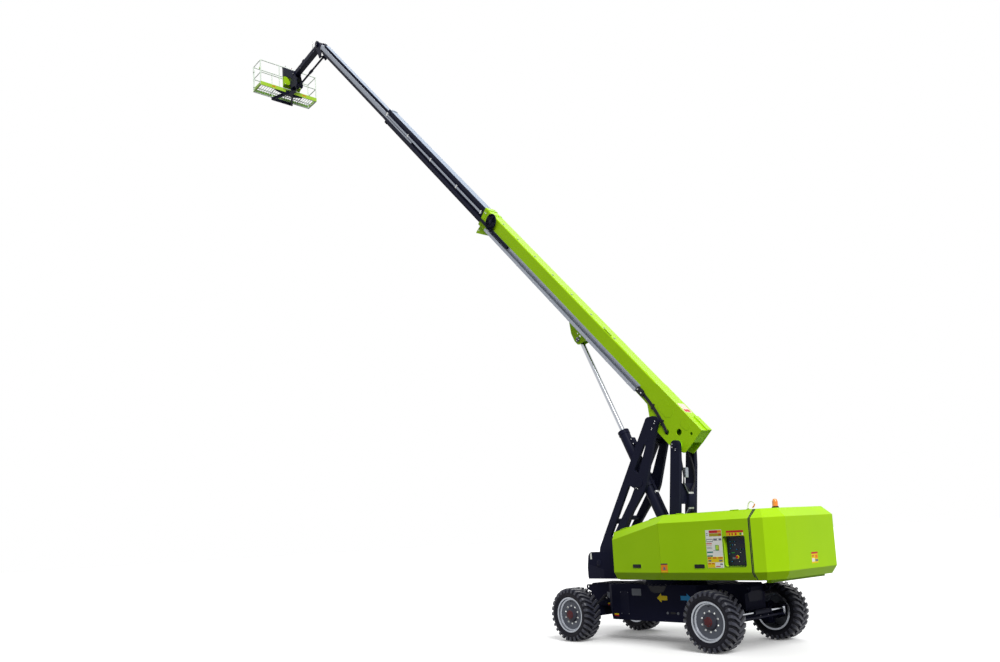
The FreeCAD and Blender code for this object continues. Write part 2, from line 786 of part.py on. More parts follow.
def on_boom(shape):
    return raised(shape, boom_angle, boom_tail)


def slide_pads(half, top, bottom, inner_half, inner_top, inner_bottom, start, end):
    """Four wear pads on the inside of a section, each a hair off the section that slides in it."""
    gap = slide_gap
    pads = [box((start, end), (-inner_half + 25, inner_half - 25), (inner_top + gap, top + 1)),
            box((start, end), (-inner_half + 25, inner_half - 25), (bottom - 1, inner_bottom - gap))]
    side = box((start, end), (inner_half + gap, half + 1), (inner_bottom + 60, inner_top - 60))
    return pads + both_sides(side)


def base_boom():
    """Rear section with its deep pivot plates, collar at the nose, lift lugs and guide bracket."""
    half = base_half_width
    tube_part = box_tube(half, 0, -base_depth, base_start, base_nose, base_wall, 26)
    cheek = [(0, -2, 10), (1600, -2), (1600, -base_depth + 5), (1500, -base_depth + 5), (1290, -650, 60),
             (1050, -767, 60), (340, -767, 60), (20, -640, 60), (0, -300)]
    pieces = [tube_part] + both_sides(plate("xz", cheek, half - 16, half))
    pieces.append(box((0, base_start + 1), (1 - half, half - 1), (-10, -2)))
    pieces.append(box((10, 18), (1 - half, half - 1), (-330, -2)))
    for side_of in (1, -1):
        stub = [cross_rod(*rear_top, link_pin, half - 1, post_inside + post_width + 12),
                cross_rod(*rear_top, rear_boss_radius, half - 1, post_inside - clear_gap),
                cross_rod(*front_top, 90, half - 1, link_inside - clear_gap - 4)]
        pieces += stub if side_of > 0 else [mirrored(s) for s in stub]
    lug = [(4900, -base_depth + 4), (4577, -723, 60), (4360, -792, 60), (4200, -792, 60),
           (4010, -base_depth + 4)]
    for side_of in (1, -1):
        ear = [plate("xz", lug, 62, 92), cross_rod(*rod_pin, 72, 91, 108)]
        pieces += ear if side_of > 0 else [mirrored(s) for s in ear]
    collar = box_tube(half + 8, 12, -base_depth - 12, base_nose - 150, base_nose, base_wall + 8, 30)
    second = box_tube(half + 7, 9, -base_depth - 9, base_nose - 420, base_nose - 340, base_wall + 8, 28)
    pieces += [collar, second]
    guide = [(base_nose - 620, -base_depth + 4), (base_nose - 400, -600, 60), (base_nose + 40, -780, 20),
             (base_nose, -base_depth + 4)]
    pieces += both_sides(plate("xz", guide, 70, 82))
    pieces.append(box((base_nose - 100, base_nose + 20), (-83, 83), (-640, -628)))
    pieces += slide_pads(half - base_wall, -base_wall, base_wall - base_depth, fly_2_half_width, fly_2_top,
                         fly_2_bottom, base_nose - 200, base_nose - 10)
    pieces.append(box((2, 460), (-half - 6, -20), (-4, 22)))
    solid = join(pieces)
    for s, n, radius in ((676, -608, 62), (426, -402, 70), (158, -223, 35)):
        solid = solid.cut(cross_rod(s, n, radius, half - 40, half + 1))
    return on_boom(solid)


def cable_tray():
    """Open tray along the left side of the base boom, which the hose carriers slide in."""
    low = base_half_width + seat_gap
    far = base_half_width + 90
    section = [(low, -470), (far, -470), (far, -392), (far - 6, -392), (far - 6, -464), (low + 6, -464),
               (low + 6, -300), (low, -300)]
    return on_boom(plate("yz", section, 1920, base_nose - 450))


def carrier_guard():
    """Round guard on the left of the base boom's nose, stood off on a bracket above the carriers."""
    s, n = guard_centre
    side = base_half_width + 7 + seat_gap
    inner = base_half_width + guard_stand
    disc = cross_rod(s, n, guard_radius, inner + 10, inner + 22)
    rim = cross_rod(s, n, guard_radius, inner, inner + 14).cut(
        cross_rod(s, n, guard_radius - 8, inner - 1, inner + 15))
    above = box((s - guard_radius, s + guard_radius), (inner - 8, inner + 15), (-200, 100))
    boss = cross_rod(s, n, 60, inner + 20, inner + 34)
    bracket = box((s - 90, s + 90), (side - 7, inner + 12), (-130, -50))
    return on_boom(join([disc, rim.common(above), boss, bracket]))


def carrier(half, start, end, width, low, high, bracket):
    """Flat tube that guides the hoses beside a section, held by a bracket at its nose."""
    inner = base_half_width + 14
    bar = box((start, end), (inner, inner + width), (low, high))
    bore = box((start - 1, end + 1), (inner + 4, inner + width - 4), (low + 4, high - 4))
    foot = box(bracket, (half - 1, inner + width), (low, high))
    return [bar.cut(bore), foot]


def fly_2():
    half = fly_2_half_width
    nose = fly_2_nose
    pieces = [box_tube(half, fly_2_top, fly_2_bottom, fly_2_rear, nose, fly_wall, 22),
              box_tube(half + 9, fly_2_top + 12, fly_2_bottom - 12, nose - 120, nose, fly_wall + 9, 26)]
    pieces += carrier(half, fly_2_rear + 150, nose - 10, 40, -370, -300, (nose - 110, nose - 10))
    pieces += slide_pads(half - fly_wall, fly_2_top - fly_wall, fly_2_bottom + fly_wall, fly_3_half_width,
                         fly_3_top, fly_3_bottom, nose - 180, nose - 8)
    return on_boom(join(pieces))


def fly_3():
    """Inner section, closed at the nose by a plate with the two lugs of the boom head."""
    half = fly_3_half_width
    nose = fly_3_nose
    pieces = [box_tube(half, fly_3_top, fly_3_bottom, fly_3_rear, nose, fly_wall, 20),
              box((nose - 12, nose), (-half + 2, half - 2), (fly_3_bottom + 2, fly_3_top - 2))]
    pieces += carrier(half, fly_3_rear + 100, nose + 45, 26, -285, -240, (nose - 40, nose + 45))
    ear = [(nose - 30, -400, 20), (nose + 60, -400, 60), (head_pin[0] + 78, head_pin[1] - 60, 70),
           (head_pin[0] + 78, head_pin[1] + 80, 70), (nose + 60, -125, 60), (nose - 30, -125, 20)]
    lug = plate("xz", ear, half - 30, half)
    lug = lug.cut(cross_rod(*head_pin, link_pin + pin_gap, half - 31, half + 1))
    pieces += both_sides(lug)
    return on_boom(join(pieces))


# ---------------------------------------------------------------- jib
def boom_head():
    """Levelled head on the fly's nose: two cheeks, the jib's rotary drum and the tie's pin."""
    cheek = [(head_pivot[0] - 95, head_pivot[1] - 30, 60), (head_pivot[0] - 20, head_pivot[1] + 110, 90),
             (jib_pivot[0] - 40, jib_pivot[1] + 125, 80), (jib_pivot[0] + 120, jib_pivot[1] + 90, 90),
             (jib_pivot[0] + 110, jib_pivot[1] - 90, 80), (tie_pivot[0] + 75, tie_pivot[1] - 60, 60),
             (tie_pivot[0] - 65, tie_pivot[1] - 65, 60), (tie_pivot[0] - 75, tie_pivot[1] + 60, 60)]
    pieces = []
    for side_of in (1, -1):
        side = [plate("xz", cheek, head_inside, head_inside + head_plate),
                cross_rod(*jib_pivot, 112, head_inside + 1, head_inside + head_plate + 45),
                cross_rod(*head_pivot, 62, head_inside + 1, head_inside + head_plate + head_boss),
                cross_rod(*tie_pivot, 52, head_inside + 1, head_inside + head_plate + 10),
                cross_rod(*head_pivot, link_pin, fly_3_half_width - 35, head_inside + 1)]
        pieces += side if side_of > 0 else [mirrored(s) for s in side]
    pieces.append(cross_rod(*jib_pivot, jib_pin_radius, -head_inside - 1, head_inside + 1))
    pieces.append(cross_rod(*tie_pivot, tie_pin_radius, -head_inside - 1, head_inside + 1))
    middle = (jib_pivot[0] - 140, jib_pivot[1] - 60)
    pieces.append(cross_rod(*middle, 30, -head_inside - 1, head_inside + 1))
    return join(pieces)


def jib_arm():
    """Box arm with a bored hub at each end."""
    hub_width = head_inside - clear_gap + 1
    body = box_tube(jib_half - 2, jib_half - 5, 5 - jib_half, 120, jib_length - 120, 6, 16)
    pieces = [body]
    for x in (0, jib_length):
        pieces.append(cross_rod(x, 0, 95, -hub_width, hub_width))
        inner = (40, 135) if x == 0 else (jib_length - 135, jib_length - 40)
        pieces.append(box(inner, (3 - jib_half, jib_half - 3), (-80, 80)))
    solid = join(pieces)
    for x in (0, jib_length):
        solid = solid.cut(cross_rod(x, 0, jib_pin_radius + pin_gap, -hub_width - 1, hub_width + 1))
    return raised(solid, jib_slope, jib_pivot)


def jib_tie():
    """Round tie under the jib with an eye at each end and the coupling in the middle."""
    bar = rod((40, 0, 0), (jib_length - 40, 0, 0), tie_radius)
    coupling = rod((jib_length / 2 - 70, 0, 0), (jib_length / 2 + 70, 0, 0), tie_radius + 14)
    eyes = [cross_rod(x, 0, 48, -42, 42) for x in (0, jib_length)]
    solid = join([bar, coupling] + eyes)
    for x in (0, jib_length):
        solid = solid.cut(cross_rod(x, 0, tie_pin_radius + pin_gap, -43, 43))
    return raised(solid, jib_slope, tie_pivot)


def platform_support():
    """Levelled bracket at the jib's tip, with the fixed case of the platform rotator."""
    cheek = [(jib_tip[0] - 90, jib_tip[1] - 20, 60), (jib_tip[0] - 60, jib_tip[1] + 100, 80),
             (jib_tip[0] + 130, jib_tip[1] + 60, 80), (rotator_x - 80, jib_tip[1] - 130, 60),
             (rotator_x - 80, rotator_low + 20, 30), (tie_tip[0] + 170, rotator_low + 5, 60),
             (tie_tip[0] + 70, tie_tip[1] - 70, 60),
             (tie_tip[0] - 70, tie_tip[1] - 60, 60), (tie_tip[0] - 60, tie_tip[1] + 80, 60)]
    pieces = []
    for side_of in (1, -1):
        side = [plate("xz", cheek, head_inside, head_inside + head_plate),
                cross_rod(*jib_tip, 70, head_inside + 1, head_inside + head_plate + head_boss),
                cross_rod(*tie_tip, 52, head_inside + 1, head_inside + head_plate + 10)]
        pieces += side if side_of > 0 else [mirrored(s) for s in side]
    pieces.append(cross_rod(*jib_tip, jib_pin_radius, -head_inside - 1, head_inside + 1))
    pieces.append(cross_rod(*tie_tip, tie_pin_radius, -head_inside - 1, head_inside + 1))
    pieces.append(rod((rotator_x, 0, rotator_low), (rotator_x, 0, rotator_high), rotator_radius))
    web = box((rotator_x - 200, rotator_x - 60), (-head_inside - 1, head_inside + 1),
              (rotator_low + 40, rotator_low + 65))
    pieces.append(web)
    return join(pieces)


# ---------------------------------------------------------------- platform
def rail(points):
    """A run of round rail through a list of points, with a ball at each inner corner."""
    pieces = [rod(points[i], points[i + 1], rail_radius) for i in range(len(points) - 1)]
    for point in points[1:-1]:
        pieces.append(Part.makeSphere(rail_radius, vec(*point)))
    return pieces


def grating():
    """Floor frame with bars along its short side, every sixth one a wide cross member."""
    half = platform_half_length
    low = platform_floor
    high = platform_floor + floor_plate
    floor = box((platform_rear, platform_front), (-half, half), (low, high))
    middle = (platform_rear + platform_front) / 2
    count = 24
    pitch = (2 * half - 60) / count
    slots = []
    for i in range(count):
        start = -half + 30 + i * pitch
        near = 15 if i % 6 == 0 else 3
        far = 15 if i % 6 == 5 else 3
        for x in ((platform_rear + 40, middle - 15), (middle + 15, platform_front - 40)):
            slots.append(box(x, (start + near, start + pitch - far), (low - 1, high + 1)))
    return floor.cut(compound(slots))


def platform_cage():
    """Floor, kick boards, posts and rails, with the arms that hang it on the rotator."""
    half = platform_half_length
    rear = platform_rear + rail_radius
    front = platform_front - rail_radius
    floor = grating()
    kick = (platform_floor, platform_floor + kick_height)
    pieces = [floor]
    pieces.append(box((platform_rear, platform_rear + kick_plate), (-half, half), kick))
    pieces.append(box((platform_front - kick_plate, platform_front), (-half, half), kick))
    pieces.append(box((platform_rear, platform_front), (-half, kick_plate - half), kick))
    left = half - rail_radius
    right = rail_radius - half
    for height in (rail_height, mid_rail_height):
        z = platform_floor + height
        pieces += rail([(rear, left, z), (rear, right, z), (front, right, z), (front, left, z)])
    posts = [(x, y) for x in (rear, front) for y in (left, right)]
    posts += [(x, y) for x in (rear, front) for y in post_places]
    for x, y in posts:
        pieces.append(rod((x, y, platform_floor + 1), (x, y, platform_floor + rail_height), rail_radius))
    for z in gate_hinge_heights():
        hinge = (gate_hinge_x(), left)
        bracket = box((hinge[0] - 28, front), (left - 26, left + 26), (z - 30, z - seat_gap))
        pieces.append(bracket.cut(rod(hinge + (z - 31,), hinge + (z,), gate_radius + 1)))
    return join(pieces + platform_arms())


def platform_arms():
    """Turning flange under the rotator, a beam to the floor, two spread arms and their cross bar."""
    top = rotator_low - slide_gap
    low = top - flange_plate
    flange = rod((rotator_x, 0, low), (rotator_x, 0, top), rotator_radius)
    beam = box((rotator_x, platform_rear + 20), (-90, 90), (low + 8, top - 8))
    head = box((platform_rear - 60, platform_rear + 20), (-150, 150), (low + 8, platform_floor + 60))
    arms = []
    for y in (-arm_spread, arm_spread):
        toward = 0.25 * y
        arms.append(plate("xy", [(platform_rear - 60, toward - 35), (platform_rear - 60, toward + 35),
                                 (platform_front - 20, y + 35), (platform_front - 20, y - 35)],
                          low + 8, platform_floor + 1))
    bar = box((platform_front - 75, platform_front - 20), (-arm_spread - 35, arm_spread + 35),
              (low + 8, platform_floor + 1))
    wing_low = platform_floor - 25
    wing = plate("yz", [(-560, platform_floor + 1), (-560, wing_low), (-200, low + 8), (200, low + 8),
                        (560, wing_low), (560, platform_floor + 1)], platform_rear + 5, platform_rear + 65)
    return [flange, beam, head, bar, wing] + arms


def gate_hinge_x():
    return platform_front - 3 * rail_radius - clear_gap - 2


def gate_hinge_heights():
    """Undersides of the gate's two hinge sleeves."""
    return (platform_floor + 200, platform_floor + rail_height - 203)


def platform_gate():
    """Side gate between the left posts: two rails and two stiles, hung on the front post."""
    y = platform_half_length - rail_radius
    hinge = gate_hinge_x()
    latch = platform_rear + 3 * rail_radius + clear_gap
    low = platform_floor + 70
    high = platform_floor + rail_height - 3
    radius = gate_radius
    pieces = []
    for x in (hinge, latch):
        pieces.append(rod((x, y, low), (x, y, high), radius))
        for z in (low, high):
            pieces.append(Part.makeSphere(radius, vec(x, y, z)))
    for z in (low, high, platform_floor + mid_rail_height):
        pieces.append(rod((latch, y, z), (hinge, y, z), radius))
    pieces.append(box((latch, hinge), (y - 3, y + 1), (platform_floor + 30, platform_floor + kick_height)))
    hinges = [rod((hinge, y, z), (hinge, y, z + 60), radius + 5) for z in gate_hinge_heights()]
    return join(pieces + hinges)


def control_console():
    """Sheet-metal control box on the rear rail, with an overhanging lid that slopes away from it."""
    base = platform_floor + console_base
    top = platform_floor + console_top
    left, right = console_span
    back = platform_rear - 150
    face = platform_rear - seat_gap
    wall = 4
    body = plate("xz", [(back, base + 80, 20), (back, top), (face, top + 110), (face, base)], left, right)
    space = plate("xz", [(back + wall, base + 82, 16), (back + wall, top), (face - wall, top + 105),
                         (face - wall, base + wall)], left + wall, right - wall)
    lid = plate("xz", [(back - 12, top - 95, 8), (back - 12, top + 5, 18), (face, top + 125, 10),
                       (face, top + 95), (back - 2, top - 12, 6), (back - 2, top - 95)],
                left - 10, right + 10)
    return join([body.cut(space), lid])


def platform_nodes():
    save("platform_cage", platform_cage())
    save("platform_gate", platform_gate())
    save("control_console", control_console())


def main():
    os.makedirs("parts", exist_ok=True)
    wheel_nodes()
    knuckle_nodes()
    steering_nodes()
    save("chassis_frame", chassis())
    save("slew_ring", slew_ring())
    save("turntable_frame", turntable())
    hood_nodes()
    save("counterweight", counterweight())
    save("engine_block", engine_block())
    save("tank_block", tank_block())
    save("beacon", beacon())
    save("rear_link", rear_link())
    save("front_link", front_link())
    save("lift_cylinder_barrel", lift_barrel())
    save("lift_cylinder_rod", lift_rod())
    save("base_boom", base_boom())
    save("cable_tray", cable_tray())
    save("carrier_guard", carrier_guard())
    save("fly_2", fly_2())
    save("fly_3", fly_3())
    save("boom_head", boom_head())
    save("jib_arm", jib_arm())
    save("jib_tie", jib_tie())
    save("platform_support", platform_support())
    platform_nodes()


if __name__ == "__main__":
    main()
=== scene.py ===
import bpy
import bmesh
import json
import math
from mathutils import Matrix, Vector


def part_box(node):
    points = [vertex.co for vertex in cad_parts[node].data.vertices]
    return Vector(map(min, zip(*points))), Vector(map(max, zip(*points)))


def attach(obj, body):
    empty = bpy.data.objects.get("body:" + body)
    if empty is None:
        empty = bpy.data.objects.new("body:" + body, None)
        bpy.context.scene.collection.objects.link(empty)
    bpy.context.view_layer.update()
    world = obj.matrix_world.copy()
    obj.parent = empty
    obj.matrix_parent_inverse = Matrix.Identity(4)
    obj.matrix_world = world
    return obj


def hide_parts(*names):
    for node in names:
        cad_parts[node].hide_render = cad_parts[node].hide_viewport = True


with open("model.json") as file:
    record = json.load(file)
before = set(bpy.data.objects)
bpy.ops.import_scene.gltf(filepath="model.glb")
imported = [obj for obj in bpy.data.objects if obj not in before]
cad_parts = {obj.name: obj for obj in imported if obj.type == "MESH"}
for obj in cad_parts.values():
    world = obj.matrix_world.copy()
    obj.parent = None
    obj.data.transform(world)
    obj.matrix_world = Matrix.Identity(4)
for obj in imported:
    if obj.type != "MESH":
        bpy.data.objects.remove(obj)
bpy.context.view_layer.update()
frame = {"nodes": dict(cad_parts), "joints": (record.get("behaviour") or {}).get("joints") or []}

# Telescopic boom lift: X along the boom, Y to the machine's left, Z up, in metres.
# Pieces are drawn in millimetres on boards: flat drawing planes set on the machine,
# its boom, its links or its wheels. A board's third axis points out of the drawing.
# ---------------------------------------------------------------- camera and studio
camera_place = Vector((-19.177, 14.181, 2.364))
camera_yaw = math.radians(-39.905)
camera_pitch = math.radians(6.568)
camera_roll = math.radians(-3.119)
camera_lens = 30.3
camera_shift = (-0.00697, 0.10797)
floor_size = 400
sky_light = 0.47
key_way = Vector((-0.70, 0.30, 0.68))
key_strength = 2.75
key_angle = 34
rim_way = Vector((0.37, -0.55, 0.75))
rim_strength = 1.0
rim_angle = 50

X = Vector((1, 0, 0))
Y = Vector((0, 1, 0))
Z = Vector((0, 0, 1))


def linear(code):
    """An sRGB hex colour as linear red, green, blue and alpha."""
    parts = [int(code[i:i + 2], 16) / 255 for i in (1, 3, 5)]
    return [p / 12.92 if p <= 0.04045 else ((p + 0.055) / 1.055) ** 2.4 for p in parts] + [1.0]


def add(tree, kind, inputs=None, **settings):
    """Adds a node: its settings, then its inputs, each a plain value or another node's output."""
    node = tree.nodes.new(kind)
    for name, value in settings.items():
        setattr(node, name, value)
    for name, value in (inputs or {}).items():
        if isinstance(value, bpy.types.NodeSocket):
            tree.links.new(value, node.inputs[name])
        else:
            node.inputs[name].default_value = value
    return node


# ---------------------------------------------------------------- finishes
def finish(name, colour, second, patch, rough, grain, relief, metallic=0.0, coat=0.0, dust_and_highlight=0.0,
           shine=0.5):
    """A surface whose colour drifts over patch mm, with a relief in mm repeated every grain mm."""
    material = bpy.data.materials.new(name)
    material.use_nodes = True
    tree = material.node_tree
    shader = tree.nodes["Principled BSDF"]
    shader.inputs["Metallic"].default_value = metallic
    shader.inputs["Coat Weight"].default_value = coat
    shader.inputs["Coat Roughness"].default_value = 0.12
    shader.inputs["Specular IOR Level"].default_value = shine
    place = add(tree, "ShaderNodeTexCoord")
    at = place.outputs["Object"]
    drift = add(tree, "ShaderNodeTexNoise", {"Vector": at, "Scale": 1000 / patch, "Detail": 4.0})
    tone = add(tree, "ShaderNodeMix", {0: drift.outputs[0], 6: linear(colour), 7: linear(second)},
               data_type="RGBA").outputs[2]
    # Upward faces pale toward a dust colour: real dust on the dark enamel, and on the tyre lugs partly a
    # painted highlight.
    if dust_and_highlight:
        facing = add(tree, "ShaderNodeSeparateXYZ", {0: place.outputs["Normal"]})
        dust_and_highlight_amount = add(tree, "ShaderNodeMapRange", {"Value": facing.outputs["Z"], "From Min": 0.4,
                                                   "From Max": 1.0, "To Max": dust_and_highlight})
        tone = add(tree, "ShaderNodeMix", {0: dust_and_highlight_amount.outputs[0], 6: tone, 7: linear("#b8b4a6")},
                   data_type="RGBA").outputs[2]
    tree.links.new(tone, shader.inputs["Base Color"])
    fine = add(tree, "ShaderNodeTexNoise", {"Vector": at, "Scale": 1000 / grain, "Detail": 2.0})
    sheen = add(tree, "ShaderNodeMapRange", {"Value": drift.outputs[0], "From Min": 0.3, "From Max": 0.7,
                                             "To Min": rough[0], "To Max": rough[1]})
    tree.links.new(sheen.outputs[0], shader.inputs["Roughness"])
    bump = add(tree, "ShaderNodeBump", {"Height": fine.outputs[0], "Distance": relief / 1000,
                                        "Strength": 1.0})
    tree.links.new(bump.outputs[0], shader.inputs["Normal"])
    return material


# Sprayed two-coat lime enamel: a bright gloss with a faint orange peel, drawn 12 mm wide so it shows.
lime = finish("lime_enamel_sprayed", "#a2d60c", "#aede1c", 700, (0.3, 0.4), 12, 0.12, shine=0.06)
# The same lime on parts that stand in the rain and spray, so it is a shade deeper and duller.
lime_deep = finish("lime_enamel_boards", "#9ccb12", "#a9d422", 300, (0.32, 0.45), 10, 0.1, shine=0.06)
# Sprayed blue-black enamel: nearly black, with a cold sheen and a thin film of dust on flat tops.
dark = finish("blue_black_enamel_sprayed", "#161729", "#1d1f34", 500, (0.34, 0.46), 12, 0.12,
              dust_and_highlight=0.015, shine=0.05)
# The same paint, flatter, low on the frame where spray has dulled it.
dark_dull = finish("blue_black_enamel_dulled", "#151628", "#1b1d31", 500, (0.5, 0.62), 12, 0.12, shine=0.03)
# The same paint coloured pale blue-grey on the tops of the sliding sections: a painted reflection of the sky.
sky_reflection_tops = finish("enamel_painted_sky_reflection", "#8e9db2", "#9aa8bb", 900, (0.42, 0.5), 14, 0.05, shine=0.1)
# Toe board enamel in painted shade: a deeper green for the inner face of the front board.
toe_board_painted_shade = finish("lime_enamel_painted_shade", "#5f8f14", "#6b9c1c", 300, (0.4, 0.5), 10, 0.1, shine=0.06)
# Toe board enamel in painted light: the rear board coloured a paler lime.
toe_board_painted_light = finish("lime_enamel_painted_light", "#aedb3c", "#b8e24c", 300, (0.4, 0.5), 10, 0.1, shine=0.06)
# Rail enamel coloured almost white: the lime tube's highlight in strong light is painted into its colour; a
# soft gloss.
rail_painted_light = finish("rail_enamel_painted_light", "#f0f9f0", "#e2f3df", 200, (0.3, 0.42), 8, 0.05)
# Open steel grating, galvanised and pale.
grating = finish("grating_galvanised", "#d3dbd6", "#c2ccc6", 60, (0.4, 0.55), 8, 0.05)
# Natural rubber, moulded: black with a grey bloom and a rough, fine-pitted skin.
rubber = finish("tyre_rubber_moulded", "#0f0f16", "#1c1c25", 90, (0.45, 0.6), 7, 0.5, shine=0.12)
# The same rubber on the lugs, greyer than the carcass and paler on upward faces: partly scuffing and dust,
# partly a painted highlight on the lug tops.
tread_scuff_and_highlight = finish("tyre_tread_scuffed_painted_highlight", "#23242f", "#3b3d4a", 60, (0.32, 0.46), 6, 0.4, dust_and_highlight=0.12, shine=0.35)
# Silver lacquer on rolled steel: bright, cool and softly metallic.
silver = finish("rim_silver_lacquer", "#9297a0", "#b4b7be", 120, (0.26, 0.38), 6, 0.05, metallic=0.85)
# Grey lacquer on a pressed disc, flatter than the rim; its darker grey is partly the disc's own and partly
# painted shade of the sunken disc.
disc_grey_painted_shade = finish("disc_grey_lacquer_painted_shade", "#484c56", "#5b5f69", 160, (0.4, 0.52), 6, 0.05, metallic=0.2,
                   shine=0.3)
# Dark oiled casting of the hub reducer.
hub_iron = finish("hub_casting_painted", "#2b2c36", "#3a3b46", 60, (0.4, 0.55), 5, 0.25, shine=0.2)
# Dark red enamel of the hub cap.
hub_red = finish("hub_cap_red_enamel", "#45151b", "#571c21", 60, (0.35, 0.5), 5, 0.08, shine=0.2)
# Hard chrome, ground: a near mirror with the finest lengthwise haze.
chrome = finish("hard_chrome_ground", "#a9adb4", "#bfc2c8", 300, (0.1, 0.2), 20, 0.01, metallic=1.0)
# Zinc plated steel: bright with a slightly cloudy sheen.
zinc = finish("zinc_plated_steel", "#c3c6c9", "#d6d6d0", 25, (0.28, 0.42), 4, 0.03, metallic=1.0)
# Hot-dip galvanised folded sheet: grey spangles, drawn 60 mm wide so they show.
galvanised = finish("galvanised_sheet", "#8a909c", "#a9aeb8", 60, (0.35, 0.5), 60, 0.02, metallic=0.7)
# Extruded grey aluminium of the hose carriers, dulled by handling.
carrier_grey = finish("aluminium_extruded", "#8f96a3", "#a4abb7", 400, (0.38, 0.5), 10, 0.02, metallic=0.45)
# Machined and oiled steel of the slewing ring.
ring_steel = finish("oiled_ring_steel", "#2a2c33", "#3a3c42", 80, (0.3, 0.45), 5, 0.04, metallic=0.6)
# Painted cast iron of the engine, with casting grain.
iron = finish("painted_cast_iron", "#34363b", "#44464b", 60, (0.5, 0.65), 5, 0.4)
# Rotationally moulded polyethylene tank: waxy and dull.
tank = finish("moulded_polyethylene", "#141416", "#1d1d20", 120, (0.45, 0.58), 9, 0.2)
# Hydraulic hose cover: black rubber with a cloth-wrap texture.
hose = finish("hose_rubber_wrapped", "#121219", "#1d1d25", 40, (0.42, 0.55), 3, 0.15, shine=0.2)
# Injection moulded panel plastic: dark blue-black with a fine spark grain.
panel_plastic = finish("panel_plastic_moulded", "#141724", "#1d2130", 60, (0.42, 0.52), 2, 0.05, shine=0.2)
# Amber polycarbonate lens: clear orange and glossy.
amber = finish("amber_polycarbonate", "#ff7a06", "#ffa51c", 50, (0.1, 0.2), 9, 0.15, coat=0.6)

# Printed vinyl plates: flat colours with a satin film over them.
vinyl_colours = {"white": "#eceee6", "red": "#c5262a", "yellow": "#ecd21c", "orange": "#ec8a22",
                 "olive": "#a89a26", "navy": "#20233f", "blue": "#2a93cf", "teal": "#1e7d74",
                 "green": "#2f9440", "lime_spot": "#b6e04a", "pink": "#e9cfc0", "grey": "#6f737c",
                 "bolt_dark": "#0c0c12"}
vinyl = {name: finish("vinyl_" + name, code, code, 40, (0.34, 0.44), 14, 0.02, shine=0.15)
         for name, code in vinyl_colours.items()}


# ---------------------------------------------------------------- drawing boards
door_face = 1246
joints = {j["name"]: j for j in frame["joints"]}


def middle(node):
    low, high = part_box(node)
    return (low + high) / 2


axle_middle = (middle("tyre_front_left").x + middle("tyre_rear_left").x) / 2


def spot(x, y, z):
    """A point of the machine in mm, with x from midway between the axles."""
    return Vector((axle_middle + x / 1000, y / 1000, z / 1000))


def anchor(name):
    return Vector(joints[name]["pos_m"])


def board(origin, across, upward, out):
    """Takes a drawing in mm to its place: across and upward lie in the drawing, out points away."""
    turn = Matrix((across.normalized(), upward.normalized(), out.normalized())).transposed()
    return Matrix.Translation(origin) @ turn.to_4x4() @ Matrix.Diagonal((0.001, 0.001, 0.001, 1))


side = board(spot(0, 0, 0), X, Z, Y)
plan = board(spot(0, 0, 0), X, Y, Z)
cross = board(spot(0, 0, 0), Y, Z, X)
boom_way = Vector(joints["fly_2"]["axis"])
boom_up = Vector((-boom_way.z, 0, boom_way.x))
boom_tail = anchor("boom_pivot") - 0.245 * boom_way + 0.613 * boom_up
boom = board(boom_tail, boom_way, boom_up, Y)
boom_top = board(boom_tail, boom_way, Y, boom_up)


def beam(foot, head):
    """A board along a link, from its foot to its head, seen from the machine's left."""
    way = head - foot
    return board(foot, way, Vector((-way.z, 0, way.x)), Y)


rear_post = beam(anchor("boom_lift"), anchor("boom_pivot"))
front_plate = beam(anchor("front_link"), boom @ Vector((1000, -615.5, 0)))
cylinder = beam(anchor("lift_cylinder_trunnion"), boom @ Vector((4280, -690, 0)))
jib = beam(anchor("jib"), anchor("platform_level"))
tie = beam(anchor("jib_tie"), anchor("jib_tie") + anchor("platform_level") - anchor("jib"))


# ---------------------------------------------------------------- making pieces
def rings(bm, at, loops, slot=0, closed=False):
    """A skin over loops of points, each joined to the next: capped, or closed into a ring."""
    loops = [[bm.verts.new(at @ Vector(p)) for p in loop] for loop in loops]
    count = len(loops[0])
    pairs = list(zip(loops, loops[1:] + loops[:1])) if closed else list(zip(loops, loops[1:]))
    faces = [bm.faces.new((a[i], a[(i + 1) % count], b[(i + 1) % count], b[i]))
             for a, b in pairs for i in range(count)]
    if not closed:
        faces += [bm.faces.new(loops[0][::-1]), bm.faces.new(loops[-1])]
    for face in faces:
        face.material_index = slot


def drawn_in(points, amount):
    """The outline pulled toward its middle by about amount mm."""
    mid = sum((Vector(p) for p in points), Vector((0, 0))) / len(points)
    return [mid + (Vector(p) - mid) * (1 - amount / max(amount * 2, (Vector(p) - mid).length))
            for p in points]


def slab(bm, at, points, low, high, edge=0, slot=0):
    """A plate cut to an outline between two heights; edge breaks its outer rim."""
    edge = math.copysign(edge, high - low)
    levels = [(low, points), (high - edge, points)]
    if edge:
        levels.append((high, drawn_in(points, abs(edge))))
    rings(bm, at, [[(p[0], p[1], level) for p in outline] for level, outline in levels], slot)


def rectangle(x, y):
    return [(x[0], y[0]), (x[1], y[0]), (x[1], y[1]), (x[0], y[1])]


def rounded(x, y, radius, steps=3):
    """A rectangle with round corners."""
    points = []
    for i, (cx, cy) in enumerate(((x[1] - radius, y[1] - radius), (x[0] + radius, y[1] - radius),
                                  (x[0] + radius, y[0] + radius), (x[1] - radius, y[0] + radius))):
        for k in range(steps + 1):
            turn = math.radians(90 * (i + k / steps))
            points.append((cx + radius * math.cos(turn), cy + radius * math.sin(turn)))
    return points


def circle(radius, steps, x=0, y=0, start=0.0):
    return [(x + radius * math.cos(2 * math.pi * k / steps + start),
             y + radius * math.sin(2 * math.pi * k / steps + start)) for k in range(steps)]


def turned(bm, at, profile, steps=24, x=0, y=0, slot=0, closed=False):
    """A round piece about the board's third axis; the profile is (radius, height)."""
    rings(bm, at, [[(p[0], p[1], height) for p in circle(radius, steps, x, y)]
                   for radius, height in profile], slot, closed)


